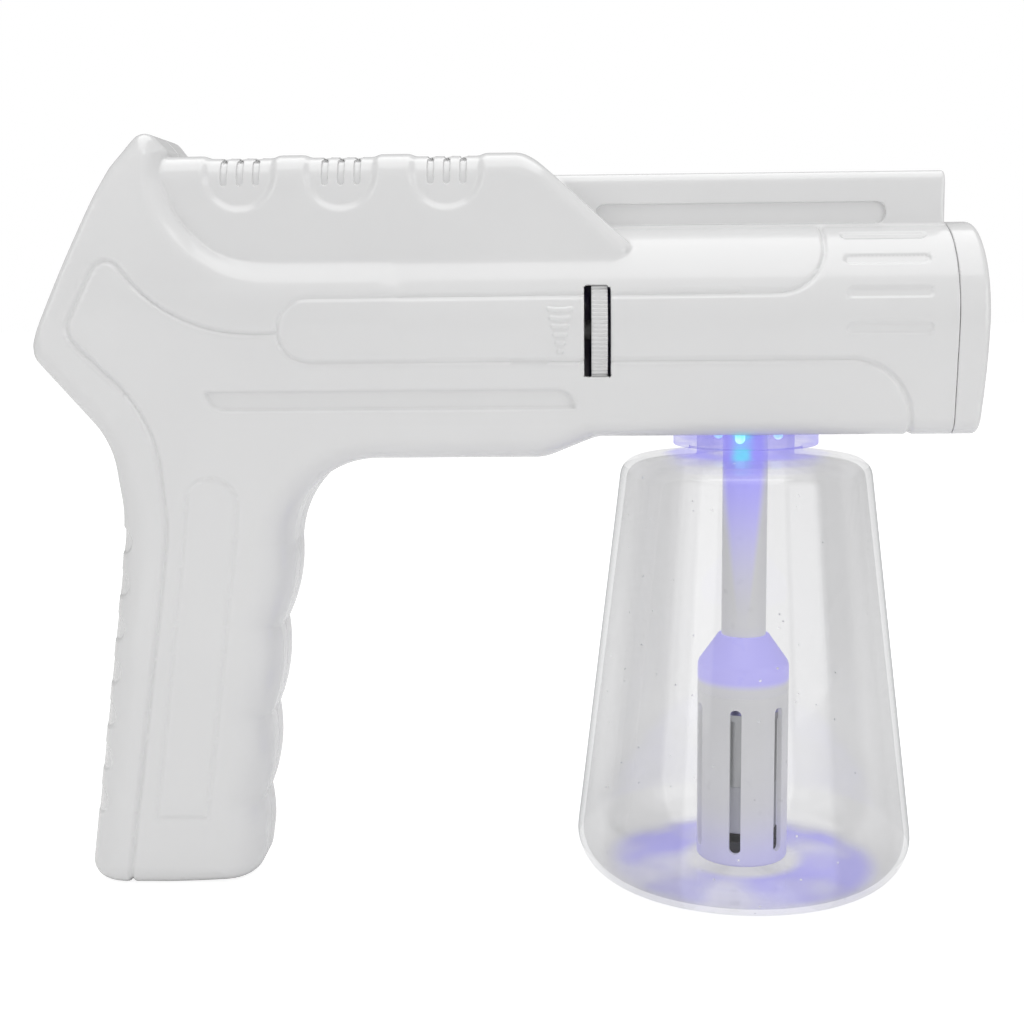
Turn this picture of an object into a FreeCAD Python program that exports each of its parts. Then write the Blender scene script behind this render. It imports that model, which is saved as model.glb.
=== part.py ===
import FreeCAD, Part

import math
import os

from FreeCAD import Vector

# Electrostatic disinfectant sprayer, in millimetres.
# +X points out of the nozzle, +Z is up and +Y is the sprayer's left side.
# The origin is on the bottle's axis, on the plane that the sprayer stands on.

# ---------------------------------------------------------------- driving dimensions
WALL = 2.4
GAP = 0.15
RUN = 0.05

# Barrel: a round-topped section that runs along X.
BARREL_R = 28.0
BARREL_Z = 171.4
BARREL_BOTTOM = 138.2
BARREL_BOTTOM_HALF = 24.0
BARREL_CORNER = 4.0
BARREL_REAR = -184.0
BARREL_FRONT = 57.0

# Vent housing on top of the barrel, and the sight rail in front of it.
HUMP_HALF = 20.3
HUMP_TOP = 221.6
HUMP_ROUND = 8.0
RAIL_HALF = 7.5
RAIL_TOP = 214.2
RAIL_FRONT = 56.4
RAIL_ROUND = 3.5
RAIL_SLOT_X = (-48.0, 39.4)
RAIL_SLOT_TOP = 205.3
RAIL_WEB_HALF = 3.0
VENT_GROUPS_X = (-147.0, -118.2, -88.8)
VENT_STEP = 4.7
VENT_SLOT_HALF = 0.9
VENT_SLOT_Z = (210.8, 218.4)
VENT_SLOT_DEPTH = 1.2

# Handle: a rounded block that leans back as it goes down.
HANDLE_HALF = 19.5
HANDLE_TOP = 118.0
HANDLE_JOIN = 132.0
HANDLE_REAR = -187.9
HANDLE_FRONT = -137.0
HANDLE_LEAN = 15.5
HANDLE_CORNER = 13.0
FOOT_ROUND = 6.5
FINGER_ZS = (92.5, 65.8, 38.4, 13.5)
FINGER_HALF = 13.2
FINGER_RISE = 1.9
DIMPLE_R = 4.2
DIMPLE_INNER_Y = 8.0
DIMPLE_ZS = [26.0 + 13.5 * i for i in range(7)]
DIMPLE_DEPTH = 0.7

# Rear face: a plane that leans forward, with the control panel set into it.
REAR_LOW = Vector(-208.3, 0, 168.0)
REAR_HIGH = Vector(-182.3, 0, 224.2)
PANEL_HALF_UP = 23.0
PANEL_HALF_SIDE = 15.5
PANEL_CORNER = 6.0
PANEL_BACK = -4.2
BUTTON_UP = 4.0
BUTTON_R = 8.0
BUTTON_TRAVEL = 1.0
LENS_UP = 18.0
JACK_UP = -14.0
JACK_BORE_R = 2.9
BOARD_FACE = -15.0
BOARD_THICK = 1.6

# Flow wheel, seen through a window in the right side.
WHEEL_R = 22.0
WHEEL_Y = -7.0
WHEEL_Z = 168.7
WHEEL_X = (-47.0, -42.4)
WHEEL_TEETH = 115
WHEEL_TOOTH = 0.45
WHEEL_SHAFT_R = 3.0
WINDOW_X = (-49.1, -41.5)
WINDOW_Z = (156.5, 180.9)

# Fan, nozzle and front cap, on one axis.
AIR_Z = 169.0
CAP_FRONT = 66.5
OPENING_R = 21.0
DUCT_R = 22.4
FAN_X = (30.5, 48.5)
FAN_OUTER_R = 21.0
FAN_INNER_R = 19.8
BLADE_TIP_R = 19.3
BLADE_COUNT = 9
HUB_R = 10.0
MOTOR_R = 8.4
MOTOR_X = (28.5, 42.5)
GRILLE_X = (56.5, 60.0)
NOZZLE_R = 5.05
NOZZLE_X = (50.8, 60.2)
ELECTRODE_R = 12.0

# Bottle and its screw neck.
BODY_R = 52.9
SHOULDER_R = 37.4
SHOULDER_Z = 129.3
NECK_R = 17.1
NECK_Z = 131.9
FLANGE_R = 21.8
FLANGE_Z = (133.7, 138.0)
FINISH_R = 16.4
FINISH_TOP = 152.0
MOUTH_R = 14.7
BOTTLE_WALL = 1.7
THREAD_PITCH = 4.0
THREAD_TURNS = 1.75
THREAD_START = 141.6
MALE_CREST_R = 17.6
FEMALE_ROOT_R = 18.05
FEMALE_CREST_R = 16.85

# Socket for the neck, intake tube and pump.
SOCKET_R = 20.2
SOCKET_LIP_R = 19.5
SOCKET_ROOF = (153.7, 156.5)
LAMP_BOARD_R = 13.3
LAMP_BOARD_Z = 138.4
LAMP_PITCH_R = 10.6
LAMP_ANGLES = (-105, 15, 135)
TUBE_R = 6.8
TUBE_BORE_R = 5.4
TUBE_Z = (68.5, 161.0)
CAGE_R = 14.0
CAGE_WALL = 1.6
CAGE_Z = (4.6, 57.5)
DOME_Z = (57.6, 75.0)
SLOT_WIDTH = 3.6
SLOT_Z = (8.6, 54.0)
SLOT_COUNT = 6
SLOT_ANGLE = -105.0
PUMP_R = 10.6
HOSE_R = 2.2
HOSE_BORE_R = 1.3

# Batteries, leaning with the handle.
CELL_R = 9.2
CELL_LENGTH = 65.0
CELL_SPACING = 19.0
BATTERY_X = -175.7

# Screws that close the shells: (x, z).
SCREW_POSTS = (
    (-182.0, 13.0),
    (-160.0, 108.0),
    (-191.0, 153.0),
    (-118.0, 139.0),
    (-66.0, 141.0),
    (-148.0, 207.0),
    (-76.0, 207.0),
    (24.0, 193.2),
)
POST_R = 3.2
SCREW_R = 1.4
SCREW_HEAD_R = 2.7
SCREW_TIP_Y = -9.0
SCREW_SEAT_Y = 6.0

X_AXIS = Vector(1, 0, 0)
Y_AXIS = Vector(0, 1, 0)
Z_AXIS = Vector(0, 0, 1)
ORIGIN = Vector(0, 0, 0)


# ---------------------------------------------------------------- shape helpers
def in_xz(a, b):
    return Vector(a, 0, b)


def in_yz(a, b):
    return Vector(0, a, b)


def in_xy(a, b):
    return Vector(a, b, 0)


def rounded_wire(corners, place):
    """A closed wire through (a, b, radius) corners; place() puts (a, b) in space."""
    count = len(corners)
    starts = []
    middles = []
    ends = []
    for i in range(count):
        a, b, radius = corners[i]
        before = Vector(*corners[i - 1][:2], 0)
        after = Vector(*corners[(i + 1) % count][:2], 0)
        here = Vector(a, b, 0)
        to_before = (before - here).normalize()
        to_after = (after - here).normalize()
        half = to_before.getAngle(to_after) / 2
        reach = radius / math.tan(half)
        bisector = (to_before + to_after).normalize() if radius > 0 else ORIGIN
        starts.append(here + to_before * reach)
        middles.append(here + bisector * (radius / math.sin(half) - radius))
        ends.append(here + to_after * reach)
    edges = []
    for i in range(count):
        if (starts[i] - ends[i - 1]).Length > 1e-6:
            edges.append(Part.LineSegment(place(*ends[i - 1][:2]), place(*starts[i][:2])))
        if corners[i][2] > 0:
            points = [place(*point[:2]) for point in (starts[i], middles[i], ends[i])]
            edges.append(Part.Arc(*points))
    return Part.Wire([edge.toShape() for edge in edges])


def shrunk(corners, inset):
    """The outline with every side moved inward by inset."""
    count = len(corners)
    area = sum(corners[i - 1][0] * corners[i][1] - corners[i][0] * corners[i - 1][1] for i in range(count))
    turn = 1.0 if area > 0 else -1.0
    result = []
    for i in range(count):
        before = Vector(*corners[i - 1][:2], 0)
        here = Vector(*corners[i][:2], 0)
        after = Vector(*corners[(i + 1) % count][:2], 0)
        along_in = (here - before).normalize()
        along_out = (after - here).normalize()
        normal_in = Vector(-along_in.y, along_in.x, 0) * turn
        normal_out = Vector(-along_out.y, along_out.x, 0) * turn
        moved = here + (normal_in + normal_out) * (inset / (1.0 + normal_in.dot(normal_out)))
        convex = (along_in.x * along_out.y - along_in.y * along_out.x) * turn > 0
        radius = corners[i][2]
        if radius > 0:
            radius = max(radius - inset, 0.5) if convex else radius + inset
        result.append((moved.x, moved.y, radius))
    return result


def slab_y(corners, low, high):
    """A side outline in X and Z, extruded from Y = low to Y = high."""
    face = Part.Face(rounded_wire(corners, in_xz))
    face.translate(Vector(0, low, 0))
    return face.extrude(Vector(0, high - low, 0))


def slab_x(corners, low, high):
    """An outline in Y and Z, extruded from X = low to X = high."""
    face = Part.Face(rounded_wire(corners, in_yz))
    face.translate(Vector(low, 0, 0))
    return face.extrude(Vector(high - low, 0, 0))


def slab_z(corners, low, high):
    """An outline in X and Y, extruded from Z = low to Z = high."""
    face = Part.Face(rounded_wire(corners, in_xy))
    face.translate(Vector(0, 0, low))
    return face.extrude(Vector(0, 0, high - low))


def rectangle(a0, a1, b0, b1, radius=0.0):
    return [(a0, b0, radius), (a1, b0, radius), (a1, b1, radius), (a0, b1, radius)]


def box(x0, x1, y0, y1, z0, z1):
    return Part.makeBox(x1 - x0, y1 - y0, z1 - z0, Vector(x0, y0, z0))


def rod_z(radius, low, high, x=0.0, y=0.0):
    return Part.makeCylinder(radius, high - low, Vector(x, y, low), Z_AXIS)


def rod_x(radius, low, high, y=0.0, z=AIR_Z):
    return Part.makeCylinder(radius, high - low, Vector(low, y, z), X_AXIS)


def rod_y(radius, low, high, x, z):
    return Part.makeCylinder(radius, high - low, Vector(x, low, z), Y_AXIS)


def ring_z(outer, inner, low, high):
    return rod_z(outer, low, high).cut(rod_z(inner, low - 1, high + 1))


def ring_x(outer, inner, low, high, y=0.0, z=AIR_Z):
    return rod_x(outer, low, high, y, z).cut(rod_x(inner, low - 1, high + 1, y, z))


def turned_z(profile):
    """A (radius, z, corner radius) outline turned about the Z axis."""
    return Part.Face(rounded_wire(profile, in_xz)).revolve(ORIGIN, Z_AXIS, 360)


def turned_x(profile):
    """An (x, radius, corner radius) outline turned about the air axis."""
    shape = Part.Face(rounded_wire(profile, in_xz)).revolve(ORIGIN, X_AXIS, 360)
    shape.translate(Vector(0, 0, AIR_Z))
    return shape


def fused(shapes):
    """One solid from overlapping solids, without the seams between them."""
    shapes = list(shapes)
    if len(shapes) == 1:
        return shapes[0]
    return shapes[0].multiFuse(shapes[1:]).removeSplitter()


def around(shape, count, centre, axis, start=0.0):
    """count copies of shape, evenly spaced round an axis."""
    copies = []
    for i in range(count):
        copy = shape.copy()
        copy.rotate(centre, axis, start + 360.0 * i / count)
        copies.append(copy)
    return copies


def cord(points, radius):
    """A round cord, smooth through the points, with a straight piece at each end."""
    points = [Vector(*point) for point in points]
    first = (points[1] - points[0]).normalize()
    last = (points[-1] - points[-2]).normalize()
    curve = Part.BSplineCurve()
    curve.interpolate(Points=points[1:-1], InitialTangent=first, FinalTangent=last, Scale=False)
    lead_in = Part.LineSegment(points[0], points[1])
    lead_out = Part.LineSegment(points[-2], points[-1])
    path = Part.Wire([lead_in.toShape(), curve.toShape(), lead_out.toShape()])
    circle = Part.Wire([Part.makeCircle(radius, points[0], first)])
    return path.makePipeShell([circle], True, False)


def thread(profile, start):
    """A helical ridge; profile is (radius, height) corners about the helix."""
    helix = Part.makeHelix(THREAD_PITCH, THREAD_PITCH * THREAD_TURNS, FINISH_R)
    helix.translate(Vector(0, 0, start))
    corners = [Vector(radius, 0, start + height) for radius, height in profile]
    outline = Part.makePolygon(corners + [corners[0]])
    return Part.Wire(helix).makePipeShell([outline], True, True)


def on_rear(shape):
    """Moves a shape drawn as (up, side, outward) onto the rear face."""
    up = (REAR_HIGH - REAR_LOW).normalize()
    outward = Vector(-up.z, 0, up.x)
    side = outward.cross(up)
    centre = (REAR_LOW + REAR_HIGH) * 0.5
    matrix = FreeCAD.Matrix(
        up.x, side.x, outward.x, centre.x,
        up.y, side.y, outward.y, centre.y,
        up.z, side.z, outward.z, centre.z,
        0, 0, 0, 1,
    )
    moved = shape.copy()
    moved.Placement = FreeCAD.Placement(matrix)
    return moved


def handle_x(z, at_top):
    """The X of a line that leans with the handle."""
    return at_top - HANDLE_LEAN * (HANDLE_TOP - z) / HANDLE_TOP


def on_handle(shape):
    """Leans a shape drawn upright about the origin along the handle."""
    leaning = shape.copy()
    leaning.rotate(ORIGIN, Y_AXIS, math.degrees(math.atan2(HANDLE_LEAN, HANDLE_TOP)))
    return leaning


# ---------------------------------------------------------------- casing
def barrel(inset, rear, front):
    """The barrel's round-topped section, drawn in by inset."""
    radius = BARREL_R - inset
    bottom = BARREL_BOTTOM + inset
    half = BARREL_BOTTOM_HALF - inset
    corner = max(BARREL_CORNER - inset, 1.0)
    flat = [(-half, bottom, corner), (half, bottom, corner), (radius, BARREL_Z, 0), (-radius, BARREL_Z, 0)]
    return fused([slab_x(flat, rear, front), rod_x(radius, rear, front, 0.0, BARREL_Z)])


def handle(inset):
    """The leaning handle with a rounded foot."""
    rear = handle_x(HANDLE_JOIN, HANDLE_REAR) + inset
    front = handle_x(HANDLE_JOIN, HANDLE_FRONT) - inset
    half = HANDLE_HALF - inset
    drop = HANDLE_JOIN - inset
    corners = rectangle(rear, front, -half, half, HANDLE_CORNER - inset)
    face = Part.Face(rounded_wire(corners, in_xy))
    face.translate(Vector(0, 0, HANDLE_JOIN))
    block = face.extrude(Vector(-HANDLE_LEAN * drop / HANDLE_TOP, 0, -drop))
    foot = [edge for edge in block.Edges if abs(edge.BoundBox.ZMax - inset) < 1e-3]
    return block.makeFillet(FOOT_ROUND - inset, foot)


def finger_rests():
    """Four low bumps down the front of the handle."""
    rests = []
    radius = (FINGER_HALF**2 + FINGER_RISE**2) / (2 * FINGER_RISE)
    for z in FINGER_ZS:
        front = handle_x(z, HANDLE_FRONT)
        bump = rod_y(radius, -9.0, 9.0, front + FINGER_RISE - radius, z)
        keep = box(front - 6.0, front + 4.0, -10.0, 10.0, max(z - 16.0, 4.0), z + 16.0)
        rests.append(bump.common(keep))
    return rests


def haunch(inset):
    """The rear block that joins handle, barrel and rear face."""
    side = [
        (-150.0, 186.0, 0),
        (-165.6, 222.0, 2),
        (-170.6, 222.0, 2),
        (-177.2, 229.6, 4),
        (REAR_HIGH.x, REAR_HIGH.z, 6),
        (REAR_LOW.x, REAR_LOW.z, 6),
        (-209.9, 162.2, 5),
        (-188.8, 136.8, 28),
        (handle_x(110.0, HANDLE_REAR), 110.0, 0),
        (handle_x(104.0, HANDLE_FRONT), 104.0, 0),
        (-133.6, 131.9, 26.8),
        (-58.0, 131.9, 14),
        (-46.0, 138.2, 14),
        (-30.0, 138.2, 0),
        (-30.0, 160.0, 0),
    ]
    across = [
        (-9.0, 98.0, 0),
        (9.0, 98.0, 0),
        (20.6, 116.0, 20),
        (24.8, 138.0, 40),
        (27.0, 170.0, 30),
        (24.0, 214.0, 14),
        (14.0, 233.0, 12),
        (-14.0, 233.0, 12),
        (-24.0, 214.0, 14),
        (-27.0, 170.0, 30),
        (-24.8, 138.0, 40),
        (-20.6, 116.0, 20),
    ]
    block = slab_y(shrunk(side, inset), -32.0, 32.0)
    return block.common(slab_x(shrunk(across, inset), -225.0, 0.0))


def hump(inset):
    """The vent housing: a round-topped block with a sloping nose."""
    side = [
        (-172.0, 184.0, 0),
        (-172.0, HUMP_TOP, 4),
        (-66.4, HUMP_TOP, 9),
        (-33.6, 191.0, 4),
        (-40.0, 184.0, 0),
    ]
    across = rectangle(-HUMP_HALF, HUMP_HALF, 176.0, HUMP_TOP, HUMP_ROUND)
    block = slab_y(shrunk(side, inset), -30.0, 30.0)
    return block.common(slab_x(shrunk(across, inset), -180.0, -20.0))


def rail(inset):
    """The sight rail: a top bar and a front post, with a web under the bar."""
    top = RAIL_TOP - inset
    half = RAIL_HALF - inset
    front = RAIL_FRONT - inset
    foot = BARREL_Z + 15.0
    across = [(-half, foot, 0), (half, foot, 0), (half, top, RAIL_ROUND - inset), (-half, top, RAIL_ROUND - inset)]
    body = slab_x(across, -70.0, front)
    slot = rectangle(RAIL_SLOT_X[0] - inset, RAIL_SLOT_X[1] + inset, 160.0, RAIL_SLOT_TOP + inset, 2.6)
    web = RAIL_WEB_HALF if inset == 0 else 0.0
    return body.cut([slab_y(slot, web, 10.0), slab_y(slot, -10.0, -web)])


def casing(inset):
    """The whole casing as one block, drawn in by inset."""
    front = BARREL_FRONT if inset == 0 else BARREL_FRONT + 1.0
    return fused(
        [
            barrel(inset, BARREL_REAR + inset, front),
            handle(inset),
            haunch(inset),
            hump(inset),
            rail(inset),
        ]
    )


def vent_slots():
    """Three groups of three shallow slots on each side of the vent housing."""
    slots = []
    core = hump(VENT_SLOT_DEPTH)
    for group_x in VENT_GROUPS_X:
        for step in (-1, 0, 1):
            x = group_x + VENT_STEP * step
            for low, high in ((8.0, 30.0), (-30.0, -8.0)):
                outline = rectangle(x - VENT_SLOT_HALF, x + VENT_SLOT_HALF, *VENT_SLOT_Z, VENT_SLOT_HALF - 0.05)
                slots.append(slab_y(outline, low, high).cut(core))
    return slots


def dimples():
    """A row of round dimples on each rear corner of the handle, clear of the back's middle."""
    rows = []
    skin = handle(0.0).cut(handle(DIMPLE_DEPTH))
    for z in DIMPLE_ZS:
        x = handle_x(z, HANDLE_REAR) + 0.5
        for low, high in ((DIMPLE_INNER_Y, 30.0), (-30.0, -DIMPLE_INNER_Y)):
            rows.append(rod_y(DIMPLE_R, low, high, x, z).common(skin))
    return rows


def panel_outline(grow=0.0):
    up = PANEL_HALF_UP + grow
    side = PANEL_HALF_SIDE + grow
    return rectangle(-up, up, -side, side, PANEL_CORNER + grow)


def shells():
    """The right and left half shells."""
    outer = casing(0.0)
    rests = fused([outer] + finger_rests())
    hollow = rests.cut(casing(WALL))
    posts = [outer.common(rod_y(POST_R, -32.0, 32.0, x, z)) for x, z in SCREW_POSTS]
    body = fused([hollow] + posts)
    cuts = vent_slots() + dimples()
    cuts.append(rod_z(SOCKET_LIP_R + GAP, 130.0, 142.0))
    cuts.append(on_rear(slab_z(panel_outline(GAP), PANEL_BACK, 6.0)))
    right = body.common(box(-240.0, 80.0, -40.0, 0.0, -5.0, 240.0))
    left = body.common(box(-240.0, 80.0, 0.0, 40.0, -5.0, 240.0))
    wheel_pocket = rod_x(WHEEL_R + 0.4, *WINDOW_X, WHEEL_Y, WHEEL_Z).common(casing(0.45))
    right_cuts = cuts + [box(*WINDOW_X, -35.0, -15.0, *WINDOW_Z), wheel_pocket]
    left_cuts = list(cuts)
    for x, z in SCREW_POSTS:
        right_cuts.append(rod_y(SCREW_R + RUN, SCREW_TIP_Y - 1.0, 1.0, x, z))
        left_cuts.append(rod_y(SCREW_R + RUN, -1.0, 30.0, x, z))
        left_cuts.append(rod_y(SCREW_HEAD_R + GAP, SCREW_SEAT_Y, 30.0, x, z))
    return right.cut(right_cuts), left.cut(left_cuts)


def shell_screws():
    """Eight screws with crossed recesses, heads on the left side."""
    screws = []
    for x, z in SCREW_POSTS:
        shank = rod_y(SCREW_R, SCREW_TIP_Y, SCREW_SEAT_Y + 1.0, x, z)
        head = rod_y(SCREW_HEAD_R, SCREW_SEAT_Y + 0.02, SCREW_SEAT_Y + 2.0, x, z)
        bar_a = box(x - 1.5, x + 1.5, SCREW_SEAT_Y + 1.0, SCREW_SEAT_Y + 3.0, z - 0.35, z + 0.35)
        bar_b = box(x - 0.35, x + 0.35, SCREW_SEAT_Y + 1.0, SCREW_SEAT_Y + 3.0, z - 1.5, z + 1.5)
        screws.append(fused([shank, head]).cut([bar_a, bar_b]))
    return Part.makeCompound(screws)


# ---------------------------------------------------------------- front end
def front_cap():
    """The cap that closes the barrel, with a plug and the round outlet."""
    seam = BARREL_FRONT + GAP
    block = barrel(0.0, seam, CAP_FRONT)
    rim = [edge for edge in block.Edges if abs(edge.BoundBox.XMin - CAP_FRONT) < 1e-3]
    block = block.makeFillet(1.5, rim)
    plug = barrel(WALL + GAP, 52.0, seam + 1.0)
    hollow = barrel(WALL + 1.8, 51.0, CAP_FRONT - WALL)
    duct = rod_x(DUCT_R, 56.0, CAP_FRONT - 1.0)
    mouth = turned_x(
        [
            (50.0, 0.0, 0),
            (50.0, OPENING_R, 0),
            (CAP_FRONT - 2.5, OPENING_R, 0),
            (CAP_FRONT + 1.0, OPENING_R + 3.5, 0),
            (CAP_FRONT + 1.0, 0.0, 0),
        ]
    )
    return fused([fused([block, plug]).cut(hollow), duct]).cut(mouth)


def outlet_grille():
    """A ring with six spokes that carries the nozzle."""
    ring = ring_x(OPENING_R - RUN, OPENING_R - 1.6, *GRILLE_X)
    hub = ring_x(7.4, NOZZLE_R + RUN, GRILLE_X[0] - 1.0, GRILLE_X[1])
    spoke = box(GRILLE_X[0] + 0.5, GRILLE_X[1], 6.4, OPENING_R - 1.0, AIR_Z - 1.0, AIR_Z + 1.0)
    spokes = around(spoke, 6, Vector(0, 0, AIR_Z), X_AXIS, 30.0)
    return fused([ring, hub] + spokes)


def nozzle_body():
    """The body that takes liquid from the hose and holds the tip."""
    body = rod_x(NOZZLE_R, *NOZZLE_X)
    barb = rod_z(HOSE_BORE_R - 0.05, 159.0, 167.0, 53.0)
    bore = rod_x(0.7, 52.0, 61.0)
    inlet = rod_z(0.7, 158.0, 169.0, 53.0)
    seat = rod_x(3.55, NOZZLE_X[1] - 3.0, 61.0)
    return fused([body, barb]).cut([bore, inlet, seat])


def nozzle_tip():
    """The atomising tip: a stem, a round head and a cone with a fine hole."""
    low, high = NOZZLE_X
    profile = [
        (high - 2.8, 0.4, 0),
        (high - 2.8, 3.5, 0),
        (high + 0.1, 3.5, 0),
        (high + 0.1, 4.6, 0),
        (high + 2.2, 4.6, 0.4),
        (high + 4.6, 1.8, 0.4),
        (high + 4.6, 0.4, 0),
    ]
    return turned_x(profile)


def electrode_ring():
    """The charging ring in front of the grille, with its contact stem."""
    ring = ring_x(ELECTRODE_R + 0.9, ELECTRODE_R - 0.9, 60.3, 61.6)
    angle = math.radians(60)
    stem = rod_x(0.8, 54.8, 61.0, ELECTRODE_R * math.cos(angle), AIR_Z + ELECTRODE_R * math.sin(angle))
    return fused([ring, stem])


def fan_housing():
    """The fan's ring with four struts and a cup for the motor."""
    ring = ring_x(FAN_OUTER_R, FAN_INNER_R, *FAN_X)
    cup = ring_x(MOTOR_R + 1.5, MOTOR_R + RUN, FAN_X[0] - 1.5, FAN_X[0] + 1.5)
    strut = box(FAN_X[0], FAN_X[0] + 1.5, MOTOR_R + 0.8, FAN_INNER_R + 0.6, AIR_Z - 1.2, AIR_Z + 1.2)
    return fused([ring, cup] + around(strut, 4, Vector(0, 0, AIR_Z), X_AXIS, 45.0))


def fan_motor():
    return rod_x(MOTOR_R, *MOTOR_X).cut(rod_x(1.0 + RUN, MOTOR_X[0] + 2.0, MOTOR_X[1] + 1.0))


def fan_rotor():
    """A cup-shaped hub on a shaft, with pitched blades."""
    rear = FAN_X[0] + 3.0
    front = MOTOR_X[1] + 2.4
    cup = rod_x(HUB_R, rear, front).cut(rod_x(MOTOR_R + 0.4, rear - 1.0, MOTOR_X[1] + 0.5))
    shaft = rod_x(1.0, MOTOR_X[0] + 2.5, front - 0.5)
    blade = box(-7.5, 7.5, 9.4, BLADE_TIP_R, -0.7, 0.7)
    blade.rotate(ORIGIN, Y_AXIS, 38.0)
    blade.translate(Vector((rear + front) / 2, 0, AIR_Z))
    blades = around(blade, BLADE_COUNT, Vector(0, 0, AIR_Z), X_AXIS)
    trim = rod_x(BLADE_TIP_R, rear, front)
    return fused([cup, shaft] + [b.common(trim) for b in blades])


# ---------------------------------------------------------------- electronics
def high_voltage_module():
    block = box(-26.0, 14.0, -12.5, 12.5, 172.0, 189.0)
    return block.makeFillet(1.5, block.Edges)


def high_voltage_lead():
    return cord(
        [(14.1, 7, 184), (17, 7, 184), (26, 9, 187), (33, 9.3, 192.4), (44, 9.3, 192.4), (51.5, 8.4, 188.5), (54, 6, 181)],
        0.9,
    )


def flow_potentiometer():
    """The control behind the wheel, with lugs to the shell."""
    body = rod_x(8.0, -60.0, -50.5, WHEEL_Y, WHEEL_Z)
    tab = box(-59.5, -57.5, WHEEL_Y - 5.0, WHEEL_Y + 5.0, WHEEL_Z - 16.0, WHEEL_Z)
    return fused([body, tab]).cut(rod_x(WHEEL_SHAFT_R + RUN, -58.0, -49.0, WHEEL_Y, WHEEL_Z))


def flow_wheel():
    """A thin wheel with a finely ridged rim, on its shaft."""
    points = []
    for i in range(2 * WHEEL_TEETH):
        angle = math.pi * i / WHEEL_TEETH
        radius = WHEEL_R - WHEEL_TOOTH * (i % 2)
        points.append(Vector(WHEEL_X[0], WHEEL_Y + radius * math.cos(angle), WHEEL_Z + radius * math.sin(angle)))
    rim = Part.Face(Part.makePolygon(points + [points[0]])).extrude(Vector(WHEEL_X[1] - WHEEL_X[0], 0, 0))
    dish = ring_x(WHEEL_R - 3.0, WHEEL_SHAFT_R + 2.0, WHEEL_X[0] + 3.2, WHEEL_X[1] + 1.0, WHEEL_Y, WHEEL_Z)
    shaft = rod_x(WHEEL_SHAFT_R, -57.8, WHEEL_X[0] + 1.0, WHEEL_Y, WHEEL_Z)
    return fused([rim.cut(dish), shaft])


def driver_board():
    """The main board, upright along the barrel, with its large components."""
    board = box(-152.0, -74.0, -0.8, 0.8, 158.0, 188.0)
    parts = [board]
    parts.append(box(-146.0, -128.0, 0.5, 9.0, 163.0, 181.0))
    parts.append(box(-122.0, -110.0, -5.0, -0.5, 166.0, 178.0))
    for x in (-104.0, -94.0, -84.0):
        parts.append(rod_y(4.0, 0.5, 12.0, x, 168.0))
    return fused(parts)


def control_board():
    plate = rectangle(-21.0, 21.0, -13.0, 13.0, 1.0)
    return on_rear(slab_z(plate, BOARD_FACE - BOARD_THICK, BOARD_FACE))


def rear_panel():
    """The control panel, let into the rear face, with a hidden rim."""
    plate = slab_z(panel_outline(), PANEL_BACK, 0.0)
    button_hole = rod_z(BUTTON_R + RUN, -10.0, 2.0, BUTTON_UP)
    lens_hole = slab_z(rectangle(LENS_UP - 1.3, LENS_UP + 1.3, -6.1, 6.1, 1.2), -10.0, 2.0)
    jack_hole = rod_z(4.6 + RUN, -10.0, 2.0, JACK_UP)
    return on_rear(plate.cut([button_hole, lens_hole, jack_hole]))


def power_button():
    """A round button with a rim behind the panel and a stem to the switch."""
    top = rod_z(BUTTON_R, PANEL_BACK - 1.8, 1.4, BUTTON_UP)
    rim = [edge for edge in top.Edges if abs(edge.BoundBox.ZMin - 1.4) < 1e-3]
    top = top.makeFillet(0.6, rim)
    flange = rod_z(BUTTON_R + 1.2, PANEL_BACK - 1.8, PANEL_BACK - 0.1, BUTTON_UP)
    stem = rod_z(2.0, -10.0, PANEL_BACK - 1.0, BUTTON_UP)
    return on_rear(fused([top, flange, stem]))


def button_switch():
    half = 3.0
    case = box(BUTTON_UP - half, BUTTON_UP + half, -half, half, BOARD_FACE + 0.02, BOARD_FACE + 3.4)
    plunger = rod_z(1.7, BOARD_FACE + 3.0, -10.0 - BUTTON_TRAVEL - 0.1, BUTTON_UP)
    return on_rear(fused([case, plunger]))


def status_lens():
    bar = slab_z(rectangle(LENS_UP - 1.2, LENS_UP + 1.2, -6.0, 6.0, 1.1), PANEL_BACK - 1.2, 0.12)
    rim = slab_z(rectangle(LENS_UP - 2.0, LENS_UP + 2.0, -7.0, 7.0, 1.0), PANEL_BACK - 1.2, PANEL_BACK - 0.1)
    return on_rear(fused([bar, rim]))


def charging_port():
    """A round power socket on the control board, flush with the panel."""
    nose = rod_z(4.6, -6.0, -0.2, JACK_UP)
    case = box(JACK_UP - 4.6, JACK_UP + 4.6, -5.5, 5.5, BOARD_FACE + 0.02, PANEL_BACK - 0.1)
    bore = rod_z(JACK_BORE_R, -12.0, 1.0, JACK_UP)
    pin = rod_z(0.95, -12.5, -1.6, JACK_UP)
    return on_rear(fused([fused([nose, case]).cut(bore), pin]))


# ---------------------------------------------------------------- battery in the handle
def cell_centre(side):
    """The foot of a cell; side is -1 for the rear cell and +1 for the front one."""
    return Vector(BATTERY_X + side * CELL_SPACING / 2, 0, 24.0 - side * 1.25)


def battery_cell(side):
    body = rod_z(CELL_R, 0.0, CELL_LENGTH)
    cell = fused([body, rod_z(3.0, CELL_LENGTH - 1.0, CELL_LENGTH + 0.9)])
    return on_handle(cell).translate(cell_centre(side))


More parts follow.
